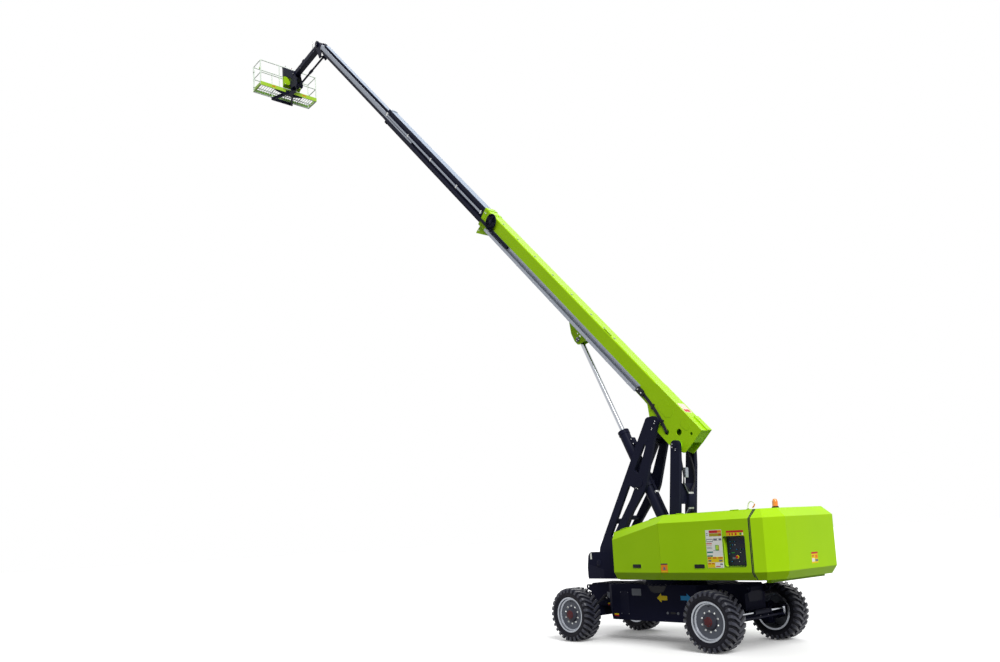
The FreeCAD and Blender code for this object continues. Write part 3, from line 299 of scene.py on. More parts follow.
def bar(bm, start, end, radius, steps=12, slot=0):
    """A round bar between two points in metres, with broken ends."""
    way = end - start
    across = way.orthogonal()
    at = board(start, across, way.cross(across), way)
    length = way.length * 1000
    edge = min(2, radius / 4)
    turned(bm, at, [(radius - edge, 0), (radius, edge), (radius, length - edge), (radius - edge, length)],
           steps, slot=slot)


def bolt(bm, at, x, y, face, size, slot=0, steps=16):
    """A washer and a chamfered hexagon head, size mm across corners, on a face height."""
    turned(bm, at, [(size * 0.68, face), (size * 0.68, face + size * 0.1), (size * 0.6, face + size * 0.14)],
           steps, x, y, slot)
    head = [(size * 0.5, 0.1), (size * 0.5, 0.42), (size * 0.42, 0.5)]
    rings(bm, at, [[(p[0], p[1], face + size * level) for p in circle(radius, 6, x, y)]
                   for radius, level in head], slot)


def bolt_circle(bm, at, middle, radius, count, face, size, slot=0, turn=0.0):
    """Bolts evenly spaced on a circle; turn is the angle of the first one in radians."""
    for k in range(count):
        angle = 2 * math.pi * k / count + turn
        bolt(bm, at, middle[0] + radius * math.cos(angle), middle[1] + radius * math.sin(angle), face,
             size, slot)


def band(bm, at, outline, width, low, high, slot=0):
    """A raised line that follows a closed outline."""
    inner = drawn_in(outline, width)
    loops = []
    for points, level in ((outline, low), (outline, high), (inner, high), (inner, low)):
        loops.append([(p[0], p[1], level) for p in points])
    rings(bm, at, loops, slot, closed=True)


def piece(name, body, finishes, build, smooth=35):
    """Makes one named piece, which rides on a body."""
    bm = bmesh.new()
    build(bm)
    bmesh.ops.recalc_face_normals(bm, faces=bm.faces)
    for face in bm.faces:
        face.smooth = True
    for edge in bm.edges:
        edge.smooth = len(edge.link_faces) == 2 and edge.calc_face_angle() < math.radians(smooth)
    mesh = bpy.data.meshes.new(name)
    bm.to_mesh(mesh)
    bm.free()
    for material in finishes if isinstance(finishes, list) else [finishes]:
        mesh.materials.append(material)
    made = bpy.data.objects.new(name, mesh)
    bpy.context.scene.collection.objects.link(made)
    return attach(made, body)


def hoses(name, body, material, radius, routes):
    """Hoses or pipes on smooth curves through points in metres."""
    data = bpy.data.curves.new(name, "CURVE")
    data.dimensions = "3D"
    data.bevel_depth = radius / 1000
    data.bevel_resolution = 3
    data.resolution_u = 6
    data.use_fill_caps = True
    for route in routes:
        line = data.splines.new("NURBS")
        line.points.add(len(route) - 1)
        for point, where in zip(line.points, route):
            point.co = (*where, 1)
        line.order_u = 3
        line.use_endpoint_u = True
    data.materials.append(material)
    made = bpy.data.objects.new(name, data)
    bpy.context.scene.collection.objects.link(made)
    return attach(made, body)


def route(at, points):
    return [at @ Vector(p) for p in points]


def coat_node(name, finishes, choose=None):
    """Gives a CAD node its finishes; choose picks one for a face from its middle, in machine mm."""
    node = frame["nodes"][name]
    node.data.materials.clear()
    for material in finishes:
        node.data.materials.append(material)
    for face in node.data.polygons:
        where = face.center
        index = choose(Vector(((where.x - axle_middle) * 1000, where.y * 1000, where.z * 1000)),
                       face.normal) if choose else 0
        face.material_index = index


def plates(name, body, at, height, patches):
    """A printed plate: coloured fields on a board, each a little prouder than the one before."""
    colours = list(dict.fromkeys(patch[0] for patch in patches))

    def build(bm):
        for i, (colour, x, y) in enumerate(patches):
            slab(bm, at, rectangle(x, y), height, height + 1.2 + 0.12 * i, slot=colours.index(colour))

    return piece(name, body, [vinyl[c] for c in colours], build)


# ---------------------------------------------------------------- wheels
tread_radius = 577.5
lug_count = 28
nut_circle = 191
cap_screw_circle = 72
cover_bolt_circle = 133
corners = {"front_left": 1, "front_right": -1, "rear_left": 1, "rear_right": -1}
# Radius and half width of the carcass from bead to shoulder; the crown joins its two halves.
half_carcass = [(362, 177), (386, 190), (420, 212), (455, 219), (486, 216), (516, 204), (542, 160)]
carcass = [(r, -width) for r, width in half_carcass] + [(549, 0)] + half_carcass[::-1]
# A lug from the side wall to just past the middle: distance round the tread, half width,
# then height and radius of its outer edge and of its buried edge.
lug_path = [(-6, 30, (220.5, 480), (205, 472)), (-4, 32, (221.5, 520), (198, 500)),
            (0, 33, (213, 556), (180, 505)), (8, 33, (188, 573), (165, 510)),
            (32, 32, (128, 577.5), (128, 530)), (76, 30, (64, 577.5), (64, 535)),
            (108, 27, (14, 577.5), (14, 535)), (114, 22, (-14, 577.5), (-14, 535))]


def tread_lug(bm, at, turn, hand):
    loops = []
    for along, half, outer, inner in lug_path:
        loop = []
        for (height, radius), offsets in ((inner, (-half - 5, half + 5)), (outer, (half - 3, 3 - half))):
            for offset in offsets:
                angle = turn + (along + offset) / tread_radius
                loop.append((radius * math.cos(angle), radius * math.sin(angle), hand * height))
        loops.append(loop)
    rings(bm, at, loops, 1)


def tyre(bm, at):
    """Turned carcass with wall ribs, and two rows of staggered lugs that meet in a chevron."""
    turned(bm, at, carcass, 96, closed=True)
    for hand in (1, -1):
        for radius in (398, 442):
            low = 199 if radius == 398 else 215
            turned(bm, at, [(radius - 5, hand * low), (radius - 2, hand * (low + 4)),
                            (radius + 2, hand * (low + 5)), (radius + 5, hand * (low + 1))], 96,
                   closed=True)
        for k in range(lug_count):
            tread_lug(bm, at, 2 * math.pi * (k + (0.5 if hand < 0 else 0)) / lug_count, hand)


def wheel_fittings(bm, at):
    """Ten bright wheel nuts, the red hub cap with its screws, the rim's lock ring and a valve."""
    for k in range(10):
        angle = 2 * math.pi * (k + 0.5) / 10
        bolt(bm, at, nut_circle * math.cos(angle), nut_circle * math.sin(angle), 124, 27, slot=1)
        turned(bm, at, [(7, 130), (7, 148), (5, 151)], 10, nut_circle * math.cos(angle),
               nut_circle * math.sin(angle), slot=1)
    turned(bm, at, [(94, 184), (94, 192), (88, 198), (52, 202), (48, 206), (10, 206)], 32, slot=0)
    bolt_circle(bm, at, (0, 0), cap_screw_circle, 6, 199, 16, slot=2)
    bolt_circle(bm, at, (0, 0), cover_bolt_circle, 12, 159, 18, slot=2)
    turned(bm, at, [(372, 184), (380, 190), (380, 197), (370, 198), (362, 192)], 96, slot=3,
           closed=True)
    turned(bm, at, [(330, 138), (338, 142), (338, 150), (326, 146)], 96, slot=3, closed=True)
    turned(bm, at, [(6, 120), (6, 168), (4, 172)], 10, 0, 282, slot=2)


for corner, hand in corners.items():
    wheel = board(anchor("wheel_" + corner), X, Z, Y * hand)
    made = piece("tyre_with_lugs_" + corner, "wheel_" + corner, [rubber, tread_scuff_and_highlight], lambda bm: tyre(bm, wheel))
    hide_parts("tyre_" + corner)
    piece("wheel_fittings_" + corner, "wheel_" + corner, [hub_red, zinc, hub_iron, silver],
          lambda bm: wheel_fittings(bm, wheel))
    hub = Vector(joints["wheel_" + corner]["pos_m"])

    def rim_part(where, normal):
        reach = math.hypot(where.x - (hub.x - axle_middle) * 1000, where.z - hub.z * 1000)
        out = hand * (where.y - hub.y * 1000)
        return 0 if reach > 318 else 1 if reach > 168 or out < 120 else 2

    # The sunken disc takes the darker grey, partly painted shade.
    coat_node("rim_" + corner, [silver, disc_grey_painted_shade, hub_iron], rim_part)
    coat_node("knuckle_" + corner, [dark])

# ---------------------------------------------------------------- chassis
for name in ("chassis_frame", "axle_front", "axle_rear", "slew_ring", "turntable_frame"):
    coat_node(name, [dark_dull])
for name in ("steering_cylinders", "rear_link", "front_link", "lift_cylinder_barrel", "carrier_guard",
             "boom_head", "jib_arm", "jib_tie", "platform_support"):
    coat_node(name, [dark])
for name in ("steer_rod_front", "steer_rod_rear"):
    coat_node(name, [dark, chrome], lambda where, normal: 1 if where.z > 640 else 0)
coat_node("lift_cylinder_rod", [chrome])
coat_node("engine_block", [iron])
coat_node("tank_block", [tank])
coat_node("cable_tray", [galvanised])


def arrow(x, z, size, way):
    """A broad arrow, way 1 toward the front and -1 toward the rear."""
    w, h = size
    points = [(w / 2, 0), (w * 0.08, h / 2), (w * 0.08, h * 0.24), (-w / 2, h * 0.24), (-w / 2, -h * 0.24),
              (w * 0.08, -h * 0.24), (w * 0.08, -h / 2)]
    return [(x + way * px, z + pz) for px, pz in points]


def chassis_signs(bm, hand):
    """Travel arrows, type plate place and hazard spots on one long side of the chassis."""
    for slot, points in ((0, arrow(-260, 930, (270, 185), 1)), (1, arrow(-875, 940, (270, 185), -1))):
        tip, shaft = [points[0], points[1], points[6]], points[2:6]
        for part in (tip, shaft):
            slab(bm, side, part, hand * 620, hand * 621.5, slot=slot)
    slab(bm, side, rounded((300, 560), (968, 1112), 12), hand * 620, hand * 622, slot=2)
    slab(bm, side, rectangle((975, 1100), (520, 548)), hand * 620, hand * 621.4, slot=3)
    slab(bm, side, rectangle((975, 1100), (548, 577)), hand * 620, hand * 621.4, slot=0)


def chassis_details(bm):
    """Port bosses, a black plate as painted shade in the access slot, cover plates and the ring's bolts."""
    for hand in (1, -1):
        for x in (-385, -655):
            turned(bm, side, [(27, hand * 619), (27, hand * 634), (20, hand * 637), (12, hand * 637)], 20,
                   x, 630, slot=1)
        slab(bm, side, [(1290, 1010), (1420, 1020), (1400, 900), (1350, 880)], hand * 480, hand * 486, 2,
             slot=1)
        # Painted shade: a black plate stands for the dark inside of the access slot.
        slab(bm, side, rounded((-590, -450), (612, 652), 16), hand * 619, hand * 624, 2, slot=2)
        slab(bm, side, rounded((650, 900), (560, 1050), 40), hand * 619, hand * 626, 3)
        for x in (670, 880):
            for z in (580, 1030):
                bolt(bm, side, x, z, hand * 626, 18 if hand > 0 else -18, slot=1)
    bolt_circle(bm, plan, (-150, 0), 654, 36, 1200.3, 22, slot=3)
    for way in (1, -1):
        slab(bm, cross, rounded((-230, 230), (860, 1060), 40), way * 2060, way * 2068, 3)


piece("chassis_details", "chassis", [dark, vinyl["grey"], vinyl["bolt_dark"], ring_steel], chassis_details)
for hand, label in ((1, "left"), (-1, "right")):
    piece("chassis_signs_" + label, "chassis",
          [vinyl["yellow"], vinyl["blue"], vinyl["grey"], vinyl["red"]], lambda bm: chassis_signs(bm, hand))


def end_signs(bm):
    """Red and yellow spots low on the drawn-in ends of the chassis."""
    for hand in (1, -1):
        for x in (1427, -1557):
            slab(bm, side, rectangle((x, x + 130), (712, 740)), hand * 330, hand * 331.4, slot=0)
            slab(bm, side, rectangle((x, x + 130), (740, 770)), hand * 330, hand * 331.4, slot=1)


piece("chassis_end_signs", "chassis", [vinyl["red"], vinyl["yellow"]], end_signs)


def under_ring(bm):
    """Swivel's pipe duct under the ring: a dark funnel with a flange on each long side."""
    for hand in (1, -1):
        slab(bm, side, [(-420, 1195), (120, 1195), (20, 1060), (-60, 1030), (-240, 1030), (-320, 1060)],
             hand * 619, hand * 627, 4)
        for x in (-380, -260, -40, 80):
            bolt(bm, side, x, 1170, hand * 627, 20 * hand, slot=1)


piece("swivel_duct", "chassis", [vinyl["bolt_dark"], dark], under_ring)


def axle_hoses():
    """Steering and drive hoses that droop from each end of the chassis to its axle."""
    runs = []
    for front in (1, -1):
        for hand in (1, -1):
            for k, (drop, reach) in enumerate(((0, 0), (60, 35), (115, 70))):
                x = front * (1500 + 40 * k)
                runs.append(route(plan, [(x, hand * 325, 980 - drop),
                                         (x + front * 20, hand * 400, 975 - drop),
                                         (x + front * 110, hand * (470 + reach), 880 - drop),
                                         (x + front * 200, hand * (500 + reach), 760 - drop / 2),
                                         (front * (1790 + 12 * k), hand * (470 + reach), 690)]))
    return runs


hoses("axle_hoses", "chassis", hose, 13, axle_hoses())


def axle_fittings(bm):
    """Hose unions, clamps and the axle's cover bolts."""
    for front in (1, -1):
        for hand in (1, -1):
            for k in range(3):
                x = front * (1500 + 40 * k)
                z = 980 - (0, 60, 115)[k]
                bar(bm, spot(x, hand * 322, z), spot(x, hand * 352, z), 19, slot=0)
                low = spot(front * (1790 + 12 * k), hand * (470 + (0, 35, 70)[k]), 672)
                bar(bm, low, low + Vector((0, 0, 0.034)), 18, slot=0)
            for z in (540, 600):
                for y in (300, 560):
                    bolt(bm, cross, hand * y, z, front * 1945, 22 * front, slot=0)
            slab(bm, cross, rounded((hand * 430 - 75, hand * 430 + 75), (520, 620), 20), front * 1944,
                 front * 1950, 2, slot=1)


piece("axle_fittings", "chassis", [zinc, dark], axle_fittings)

# ---------------------------------------------------------------- hoods, doors and tail
for name in ("counterweight", "hood_shell_left", "hood_shell_right", "hood_door_rear_left",
             "hood_door_rear_right", "hood_door_front_left", "hood_door_front_right"):
    coat_node(name, [lime])
coat_node("ground_control_panel", [panel_plastic])
coat_node("beacon", [amber, vinyl["bolt_dark"]], lambda where, normal: 1 if where.z < 2610 + 30 else 0)
bend = spot(-813, 1246, 0)
taper_way = Vector((1353, -110, 0))
taper_out = Vector((110, 1353, 0))
front_door = {1: board(bend, taper_way, Z, taper_out),
              -1: board(spot(-813, -1246, 0), Vector((1353, 110, 0)), Z, Vector((110, -1353, 0)))}


def door_latch(bm, at, x, z, hand):
    """A recessed pull handle: black cup, lip over it and the paddle inside."""
    outer = rounded((x - 120, x + 120), (z - 36, z + 36), 16)
    slab(bm, at, outer, 0, hand * 3, 1)
    band(bm, at, rounded((x - 128, x + 128), (z - 44, z + 44), 20), 8, 0, hand * 5, slot=1)
    slab(bm, at, rounded((x - 84, x + 92), (z - 4, z + 26), 8), hand * 3, hand * 13, 3)
    turned(bm, at, [(9, hand * 3), (9, hand * 8), (6, hand * 9)], 14, x - 100, z, slot=0)


for hand, label in ((1, "left"), (-1, "right")):
    out = Y * hand
    face = board(spot(0, hand * door_face, 0), X, Z, out)
    piece("latch_rear_" + label, "hood_door_rear_" + label, [vinyl["bolt_dark"], lime_deep],
          lambda bm: door_latch(bm, face, -1760, 1602, 1))
    piece("latch_front_" + label, "hood_door_front_" + label, [vinyl["bolt_dark"], lime_deep],
          lambda bm: door_latch(bm, front_door[hand], 660, 1614, 1))


def louvres(bm):
    """Pressed air slots over the engine on the right rear door, with a black strip as painted shade under
    each lip.
    """
    face = board(spot(0, -door_face, 0), X, Z, -Y)
    for column in (-2260, -1500):
        for row in range(9):
            z = 1760 + 62 * row
            # Painted shade: a black strip under each lip stands for the dark opening.
            slab(bm, face, rounded((column - 290, column + 290), (z, z + 18), 8), 0, 1.2, slot=1)
            rings(bm, face, [[(x, z + 16, 0), (x, z + 40, 0), (x, z + 34, 11), (x, z + 18, 15)]
                             for x in (column - 300, column + 300)])


piece("engine_louvres", "hood_door_rear_right", [lime, vinyl["bolt_dark"]], louvres)

niche_depth = 125
panel_thickness = 30
door_side = board(spot(0, door_face, 0), X, Z, Y)
plates("control_guide_plate", "hood_door_rear_left", door_side, 0, [
    ("white", (-2310, -1950), (1570, 2270)),
    ("red", (-2230, -2030), (2212, 2262)), ("olive", (-2306, -2030), (2150, 2208)),
    ("orange", (-2306, -2220), (2212, 2262)), ("red", (-2306, -2240), (2168, 2190)),
    ("grey", (-2000, -1966), (2200, 2216)), ("grey", (-2000, -1966), (2168, 2180)),
    ("white", (-2306, -1954), (1866, 2144)),
    ("navy", (-2104, -1962), (2050, 2104)), ("white", (-2098, -1968), (2060, 2094)),
    ("grey", (-2300, -2120), (2072, 2110)), ("white", (-2240, -2200), (2076, 2106)),
    ("red", (-2080, -1956), (2016, 2030)), ("red", (-2080, -1956), (1990, 1998)),
    ("green", (-2230, -2150), (1888, 1990)), ("lime_spot", (-2222, -2160), (1908, 1982)),
    ("orange", (-2236, -2228), (1888, 1980)), ("grey", (-2142, -2104), (1890, 1896)),
    ("teal", (-2090, -1958), (1850, 1874)), ("teal", (-2080, -1958), (1780, 1804)),
    ("grey", (-2080, -1966), (1952, 1958)), ("grey", (-2080, -1966), (1930, 1936)),
    ("yellow", (-2304, -1956), (1676, 1776)), ("red", (-2300, -2200), (1744, 1764)),
    ("red", (-2160, -2080), (1744, 1764)), ("red", (-2040, -1966), (1744, 1764)),
    ("grey", (-2290, -2210), (1690, 1720)), ("grey", (-2040, -1976), (1690, 1720)),
    ("yellow", (-2120, -1956), (1576, 1668)), ("red", (-2110, -2050), (1640, 1658)),
    ("red", (-2030, -1966), (1640, 1658)), ("white", (-2304, -2130), (1576, 1668)),
    ("red", (-2240, -2140), (1590, 1606)), ("grey", (-2290, -2230), (1626, 1650))])
plates("panel_strip_plate", "hood_door_rear_left", door_side, 0, [
    ("red", (-2780, -2410), (2206, 2244)), ("yellow", (-2780, -2410), (2146, 2204)),
    ("red", (-2500, -2470), (2156, 2198)), ("red", (-2560, -2530), (2156, 2198)),
    ("red", (-2640, -2600), (2156, 2198)), ("green", (-2740, -2700), (2156, 2198)),
    ("white", (-2776, -2752), (2156, 2198)), ("orange", (-2450, -2420), (2156, 2198))])
plates("bend_plate_rear", "hood_door_rear_left", door_side, 0, [
    ("orange", (-990, -820), (1490, 1640)), ("navy", (-990, -820), (1640, 1664)),
    ("grey", (-935, -875), (1540, 1580)), ("grey", (-920, -890), (1580, 1602)),
    ("yellow", (-980, -830), (1500, 1518))])
tail_plate = board(spot(-3370, 0, 0), -Y, Z, -X)
plates("tail_plate", "turntable", tail_plate, 0, [
    ("yellow", (-60, 160), (1570, 1772)), ("red", (-60, 160), (1740, 1772)),
    ("white", (-50, 40), (1600, 1660)), ("red", (-44, 20), (1690, 1712)), ("grey", (60, 150), (1600, 1640)),
    ("orange", (60, 150), (1660, 1720))])


def niche_controls(bm):
    """Controls on the ground panel: display, emergency stop, key, toggles and lamps."""
    at = board(spot(0, door_face - niche_depth + panel_thickness, 0), X, Z, Y)
    low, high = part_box("ground_control_panel")
    top = (high.y * 1000) - door_face + niche_depth - panel_thickness
    slab(bm, at, rounded((-2570, -2450), (1720, 1760), 8), top, top + 3, 1, slot=3)
    slab(bm, at, rounded((-2740, -2620), (1980, 2080), 10), top, top + 5, 2, slot=1)
    slab(bm, at, rounded((-2732, -2628), (1990, 2070), 6), top + 5, top + 6, slot=0)
    slab(bm, at, rectangle((-2510, -2440), (1832, 1846)), top, top + 2, slot=4)
    turned(bm, at, [(34, top), (34, top + 3), (31, top + 4)], 28, -2560, 1760, slot=5)
    turned(bm, at, [(12, top + 4), (12, top + 16), (24, top + 22), (24, top + 30), (18, top + 33)], 28,
           -2560, 1760, slot=6)
    for x, z, slot in ((-2430, 2040, 2), (-2480, 2040, 4), (-2530, 2040, 2), (-2430, 1980, 4),
                       (-2480, 1980, 2), (-2530, 1980, 7), (-2430, 1920, 2), (-2640, 1900, 4),
                       (-2700, 1900, 2), (-2640, 1840, 7), (-2560, 1900, 2), (-2600, 1680, 7),
                       (-2440, 1680, 2), (-2700, 1680, 4), (-2400, 1820, 2)):
        turned(bm, at, [(13, top), (13, top + 2), (11, top + 3)], 16, x, z, slot=1)
        turned(bm, at, [(5, top + 3), (5, top + 9), (7, top + 16), (4, top + 18)], 12, x, z, slot=slot)
    for x in (-2745, -2385):
        for z in (1640, 2100):
            bolt(bm, at, x, z, top, 12, slot=1)


piece("ground_controls", "hood_door_rear_left",
      [vinyl["navy"], panel_plastic, vinyl["blue"], vinyl["grey"], vinyl["green"], vinyl["yellow"],
       vinyl["red"], vinyl["white"]], niche_controls)


def niche_frame(bm):
    """Rubber edge strip round the niche's mouth."""
    band(bm, door_side, rounded((-2800, -2330), (1585, 2145), 38), 12, -6, 3)


piece("niche_edge_strip", "hood_door_rear_left", hose, niche_frame)


def door_seals(bm):
    """Rubber seals in the joints between the doors and the tail."""
    for hand in (1, -1):
        rings(bm, cross, [[(hand * 1060, 2606, x), (hand * 1240, 2446, x), (hand * 1240, 1486, x),
                           (hand * 1146, 1344, x), (hand * 1130, 1344, x), (hand * 1222, 1490, x),
                           (hand * 1222, 2440, x), (hand * 1050, 2594, x)] for x in (-2948, -2923)])


piece("tail_seals", "turntable", hose, door_seals)


def door_edge(bm, hand):
    """Black edge trim on the rear door's back edge."""
    rings(bm, cross, [[(hand * 1064, 2607.5, x), (hand * 1246.8, 2446.4, x), (hand * 1246.8, 1485.8, x),
                       (hand * 1150.6, 1342, x), (hand * 1147, 1344, x), (hand * 1243, 1487, x),
                       (hand * 1243, 2445, x), (hand * 1062, 2604, x)] for x in (-2921, -2896)])


for hand, label in ((1, "left"), (-1, "right")):
    piece("door_edge_trim_" + label, "hood_door_rear_" + label, hose, lambda bm: door_edge(bm, hand))


def beacon_parts(bm):
    """Moulded foot with its screws and the ribs of the beacon's lens."""
    at = board(spot(-3065, 600, 2610.3), X, Y, Z)
    turned(bm, at, [(64, 0), (64, 10), (60, 14), (57, 20), (54, 26), (53, 24), (53, 8)], 32, slot=1)
    for z in (44, 62, 80, 98):
        turned(bm, at, [(50, z), (51.6, z + 2), (51.6, z + 6), (49, z + 8)], 32, slot=0)
    bolt_circle(bm, at, (0, 0), 59, 3, 14, 8, slot=2)


piece("beacon_parts", "turntable", [amber, vinyl["bolt_dark"], zinc], beacon_parts)
hoses("horn_loop", "turntable", vinyl["white"], 11,
      [route(plan, [(-2620, 800, 2600), (-2620, 800, 2680), (-2650, 800, 2740), (-2700, 800, 2760),
                    (-2755, 800, 2735), (-2770, 800, 2700)])])
hoses("horn_tip", "turntable", vinyl["orange"], 12,
      [route(plan, [(-2768, 800, 2706), (-2764, 800, 2680), (-2742, 800, 2655), (-2720, 800, 2640)])])


def roof_fittings(bm):
    """Foot and gland of the horn's cable loop."""
    turned(bm, board(spot(-2620, 800, 2610), X, Y, Z), [(34, 0), (34, 6), (20, 12)], 20, slot=1)
    turned(bm, board(spot(-2620, 800, 2610), X, Y, Z), [(18, 12), (18, 20), (14, 22)], 16, slot=0)


piece("roof_fittings", "turntable", [lime_deep, vinyl["bolt_dark"]], roof_fittings)


def nose_details(bm):
    """White marker plate, black discs as painted shade in the sight holes, and tie bolts on the spine's nose.
    """
    for hand in (1, -1):
        slab(bm, side, rectangle((1859, 1910), (1738, 1873)), hand * 445, hand * 446.5, slot=0)
        # Painted shade: black discs stand for the dark inside of the sight holes.
        turned(bm, side, [(14, hand * 444.5), (14, hand * 446.5)], 18, 1730, 1560, slot=1)
        turned(bm, side, [(10, hand * 444.5), (10, hand * 446.5)], 18, 1850, 1530, slot=1)
        for x, z in ((1640, 1649.6), (-470, 1584.5)):
            turned(bm, side, [(70, hand * 445), (70, hand * 453), (64, hand * 457), (20, hand * 457)], 28,
                   x, z, slot=2)
            bolt_circle(bm, side, (x, z), 50, 3, hand * 457, 20 * hand, slot=2)


piece("nose_details", "turntable", [vinyl["white"], vinyl["bolt_dark"], dark], nose_details)


def nose_skirt(bm):
    """Doubling plates that square off the nose's lower corner, and the bumper plate between them."""
    for hand in (1, -1):
        slab(bm, side, [(1500, 1300), (1990, 1300), (2006, 1340), (2010, 1560), (1960, 1620), (1500, 1500)],
             hand * 436, hand * 449, 3)
    slab(bm, cross, rounded((-436, 436), (1302, 1560), 20), 1996, 2009, 3)


piece("nose_skirt", "turntable", dark, nose_skirt)

# ---------------------------------------------------------------- lift linkage
rear_length = (anchor("boom_pivot") - anchor("boom_lift")).length * 1000
front_length = (boom @ Vector((1000, -615.5, 0)) - anchor("front_link")).length * 1000
reach = (boom @ Vector((4280, -690, 0)) - anchor("lift_cylinder_trunnion")).length * 1000


def rear_post_details(bm):
    """Keeper plates on the posts' top pins and the hose clamps between the posts."""
    for hand in (1, -1):
        for offset in (-40, 28):
            bolt(bm, rear_post, rear_length + offset, -70, hand * 300, 16 * hand, slot=1)
        slab(bm, rear_post, rounded((rear_length - 130, rear_length - 60), (-60, 40), 12), hand * 300,
             hand * 305, 1)
        for offset in (-110, -80):
            bolt(bm, rear_post, rear_length + offset, 20, hand * 305, 14 * hand, slot=1)
    slab(bm, rear_post, rounded((1180, 1460), (100, 160), 10), -120, 60, 4)
    for y in (-90, -45, 0, 35):
        bar(bm, rear_post @ Vector((1460, 130, y)), rear_post @ Vector((1500, 130, y)), 17, slot=1)
        bar(bm, rear_post @ Vector((1180, 130, y)), rear_post @ Vector((1145, 130, y)), 17, slot=1)
    slab(bm, rear_post, rounded((1800, 2010), (60, 120), 8), 20, 110, 3, slot=2)
    slab(bm, rear_post, rounded((560, 660), (40, 110), 8), -150, -60, 3, slot=2)


piece("rear_post_details", "rear_link", [dark, zinc, galvanised], rear_post_details)
post_hoses = []
for y, side_y, bow in ((-90, -192, 40), (-45, -158, 70), (0, 158, 30), (35, 192, 60)):
    post_hoses.append(route(rear_post, [(1500, 130, y), (1540, 130, y), (1640, 110, side_y),
                                        (1800, 80 + bow, side_y), (2050, 50 + bow, side_y),
                                        (2250, 30, side_y), (rear_length - 90, -10, side_y)]))
    post_hoses.append(route(rear_post, [(1145, 130, y), (1110, 130, y), (1010, 110, side_y),
                                        (900, 70 + bow / 2, side_y), (700, 40, side_y), (420, 0, side_y),
                                        (60, -60, side_y)]))
hoses("post_hoses", "rear_link", hose, 14, post_hoses)
hoses("post_sleeved_hoses", "rear_link", vinyl["grey"], 9,
      [route(rear_post, [(1460, 140, 48), (1560, 140, 120), (1700, 120, 178), (1900, 110, 178),
                         (2150, 50, 178), (2300, 0, 178)]),
       route(rear_post, [(1180, 140, 48), (1090, 140, 120), (960, 110, 178), (760, 70, 178),
                         (500, 20, 178), (200, -30, 178)])])


def front_link_details(bm):
    """Keepers and grease points on the front plates."""
    for hand in (1, -1):
        face = 268
        for offset in (-18, 34):
            bolt(bm, front_plate, front_length + offset, -4, hand * face, 16 * hand, slot=1)
        slab(bm, front_plate, rounded((front_length - 190, front_length - 120), (-40, 8), 10),
             hand * 260, hand * 266, 1)
        for offset in (-172, -138):
            bolt(bm, front_plate, front_length + offset, -16, hand * 266, 14 * hand, slot=1)
        trunnion = front_plate.inverted() @ anchor("lift_cylinder_trunnion")
        keeper = rounded((trunnion.x - 150, trunnion.x - 108), (trunnion.y - 40, trunnion.y + 40), 8)
        slab(bm, front_plate, keeper, hand * 260, hand * 268, 2)
        for offset in (-24, 24):
            bolt(bm, front_plate, trunnion.x - 129, trunnion.y + offset, hand * 268, 14 * hand, slot=1)
        for x, y in ((950, -185), (1200, 125), (3000, -45)):
            turned(bm, front_plate, [(34, hand * 259.5), (34, hand * 263), (28, hand * 265)], 20, x, y)


piece("front_link_details", "front_link", [dark, zinc], front_link_details)


def barrel_details(bm):
    """Valve block, weld rings and pipe clamps of the lift cylinder."""
    for x in (1262, 1330):
        turned(bm, board(cylinder @ Vector((x, 0, 0)), Y, cylinder.to_3x3() @ Vector((0, 1, 0)),
                         cylinder.to_3x3() @ Vector((1, 0, 0))),
               [(128, -10), (133, -6), (133, 6), (128, 10)], 48)
    slab(bm, cylinder, rounded((900, 1080), (118, 190), 10), -55, 55, 4)
    for x in (930, 1050):
        bolt(bm, cylinder, x, 154, 55, 18, slot=1)
    for x in (-1500, -900, -300, 400):
        slab(bm, cylinder, rounded((x - 22, x + 22), (112, 168), 6), -40, 40, 2, slot=1)
    slab(bm, cylinder, rounded((-1790, -1640), (110, 175), 8), -50, 50, 3)


piece("lift_barrel_details", "lift_cylinder_barrel", [dark, zinc], barrel_details)
hoses("lift_barrel_pipe", "lift_cylinder_barrel", dark, 14,
      [route(cylinder, [(910, 152, -20), (850, 152, -20), (400, 152, -20), (-1500, 152, -20),
                        (-1700, 150, -20)]),
       route(cylinder, [(910, 152, 20), (850, 152, 20), (400, 152, 20), (-1000, 152, 20),
                        (-1400, 152, 20), (-1640, 150, 20)])])


def rod_details(bm):
    """Rings on both faces of the lift rod's eye."""
    for hand in (1, -1):
        turned(bm, cylinder, [(70, hand * 50), (70, hand * 54), (64, hand * 56), (30, hand * 56)], 28,
               reach, 0)


piece("lift_rod_eye_rings", "lift_cylinder_rod", zinc, rod_details)

# ---------------------------------------------------------------- boom
coat_node("base_boom", [lime, dark], lambda where, normal: 1 if abs(where.y) > 190 else 0)
boom_inverse = boom.inverted()


def on_boom(where):
    """A machine point in the boom's own mm: along, up and to the left."""
    return boom_inverse @ (where / 1000 + Vector((axle_middle, 0, 0)))


def section_part(where, normal):
    """Painted sky reflection on top, grey aluminium on the inner section's duct, plain paint elsewhere."""
    if normal.dot(boom_up) > 0.9 and on_boom(where).y > -140:
        return 1
    return 2 if where.y > 150 and on_boom(where).y > -290 else 0


for name in ("fly_2", "fly_3"):
    coat_node(name, [dark, sky_reflection_tops, carrier_grey], section_part)


def cut_cornered(middle, length, height, cut):
    """Outline of a plate with its four corners cut off at 45 degrees."""
    points = []
    for right, up in ((1, 1), (-1, 1), (-1, -1), (1, -1)):
        on_side = (middle[0] + right * length / 2, middle[1] + up * (height / 2 - cut))
        on_end = (middle[0] + right * (length / 2 - cut), middle[1] + up * height / 2)
        points += [on_side, on_end] if right == up else [on_end, on_side]
    return points


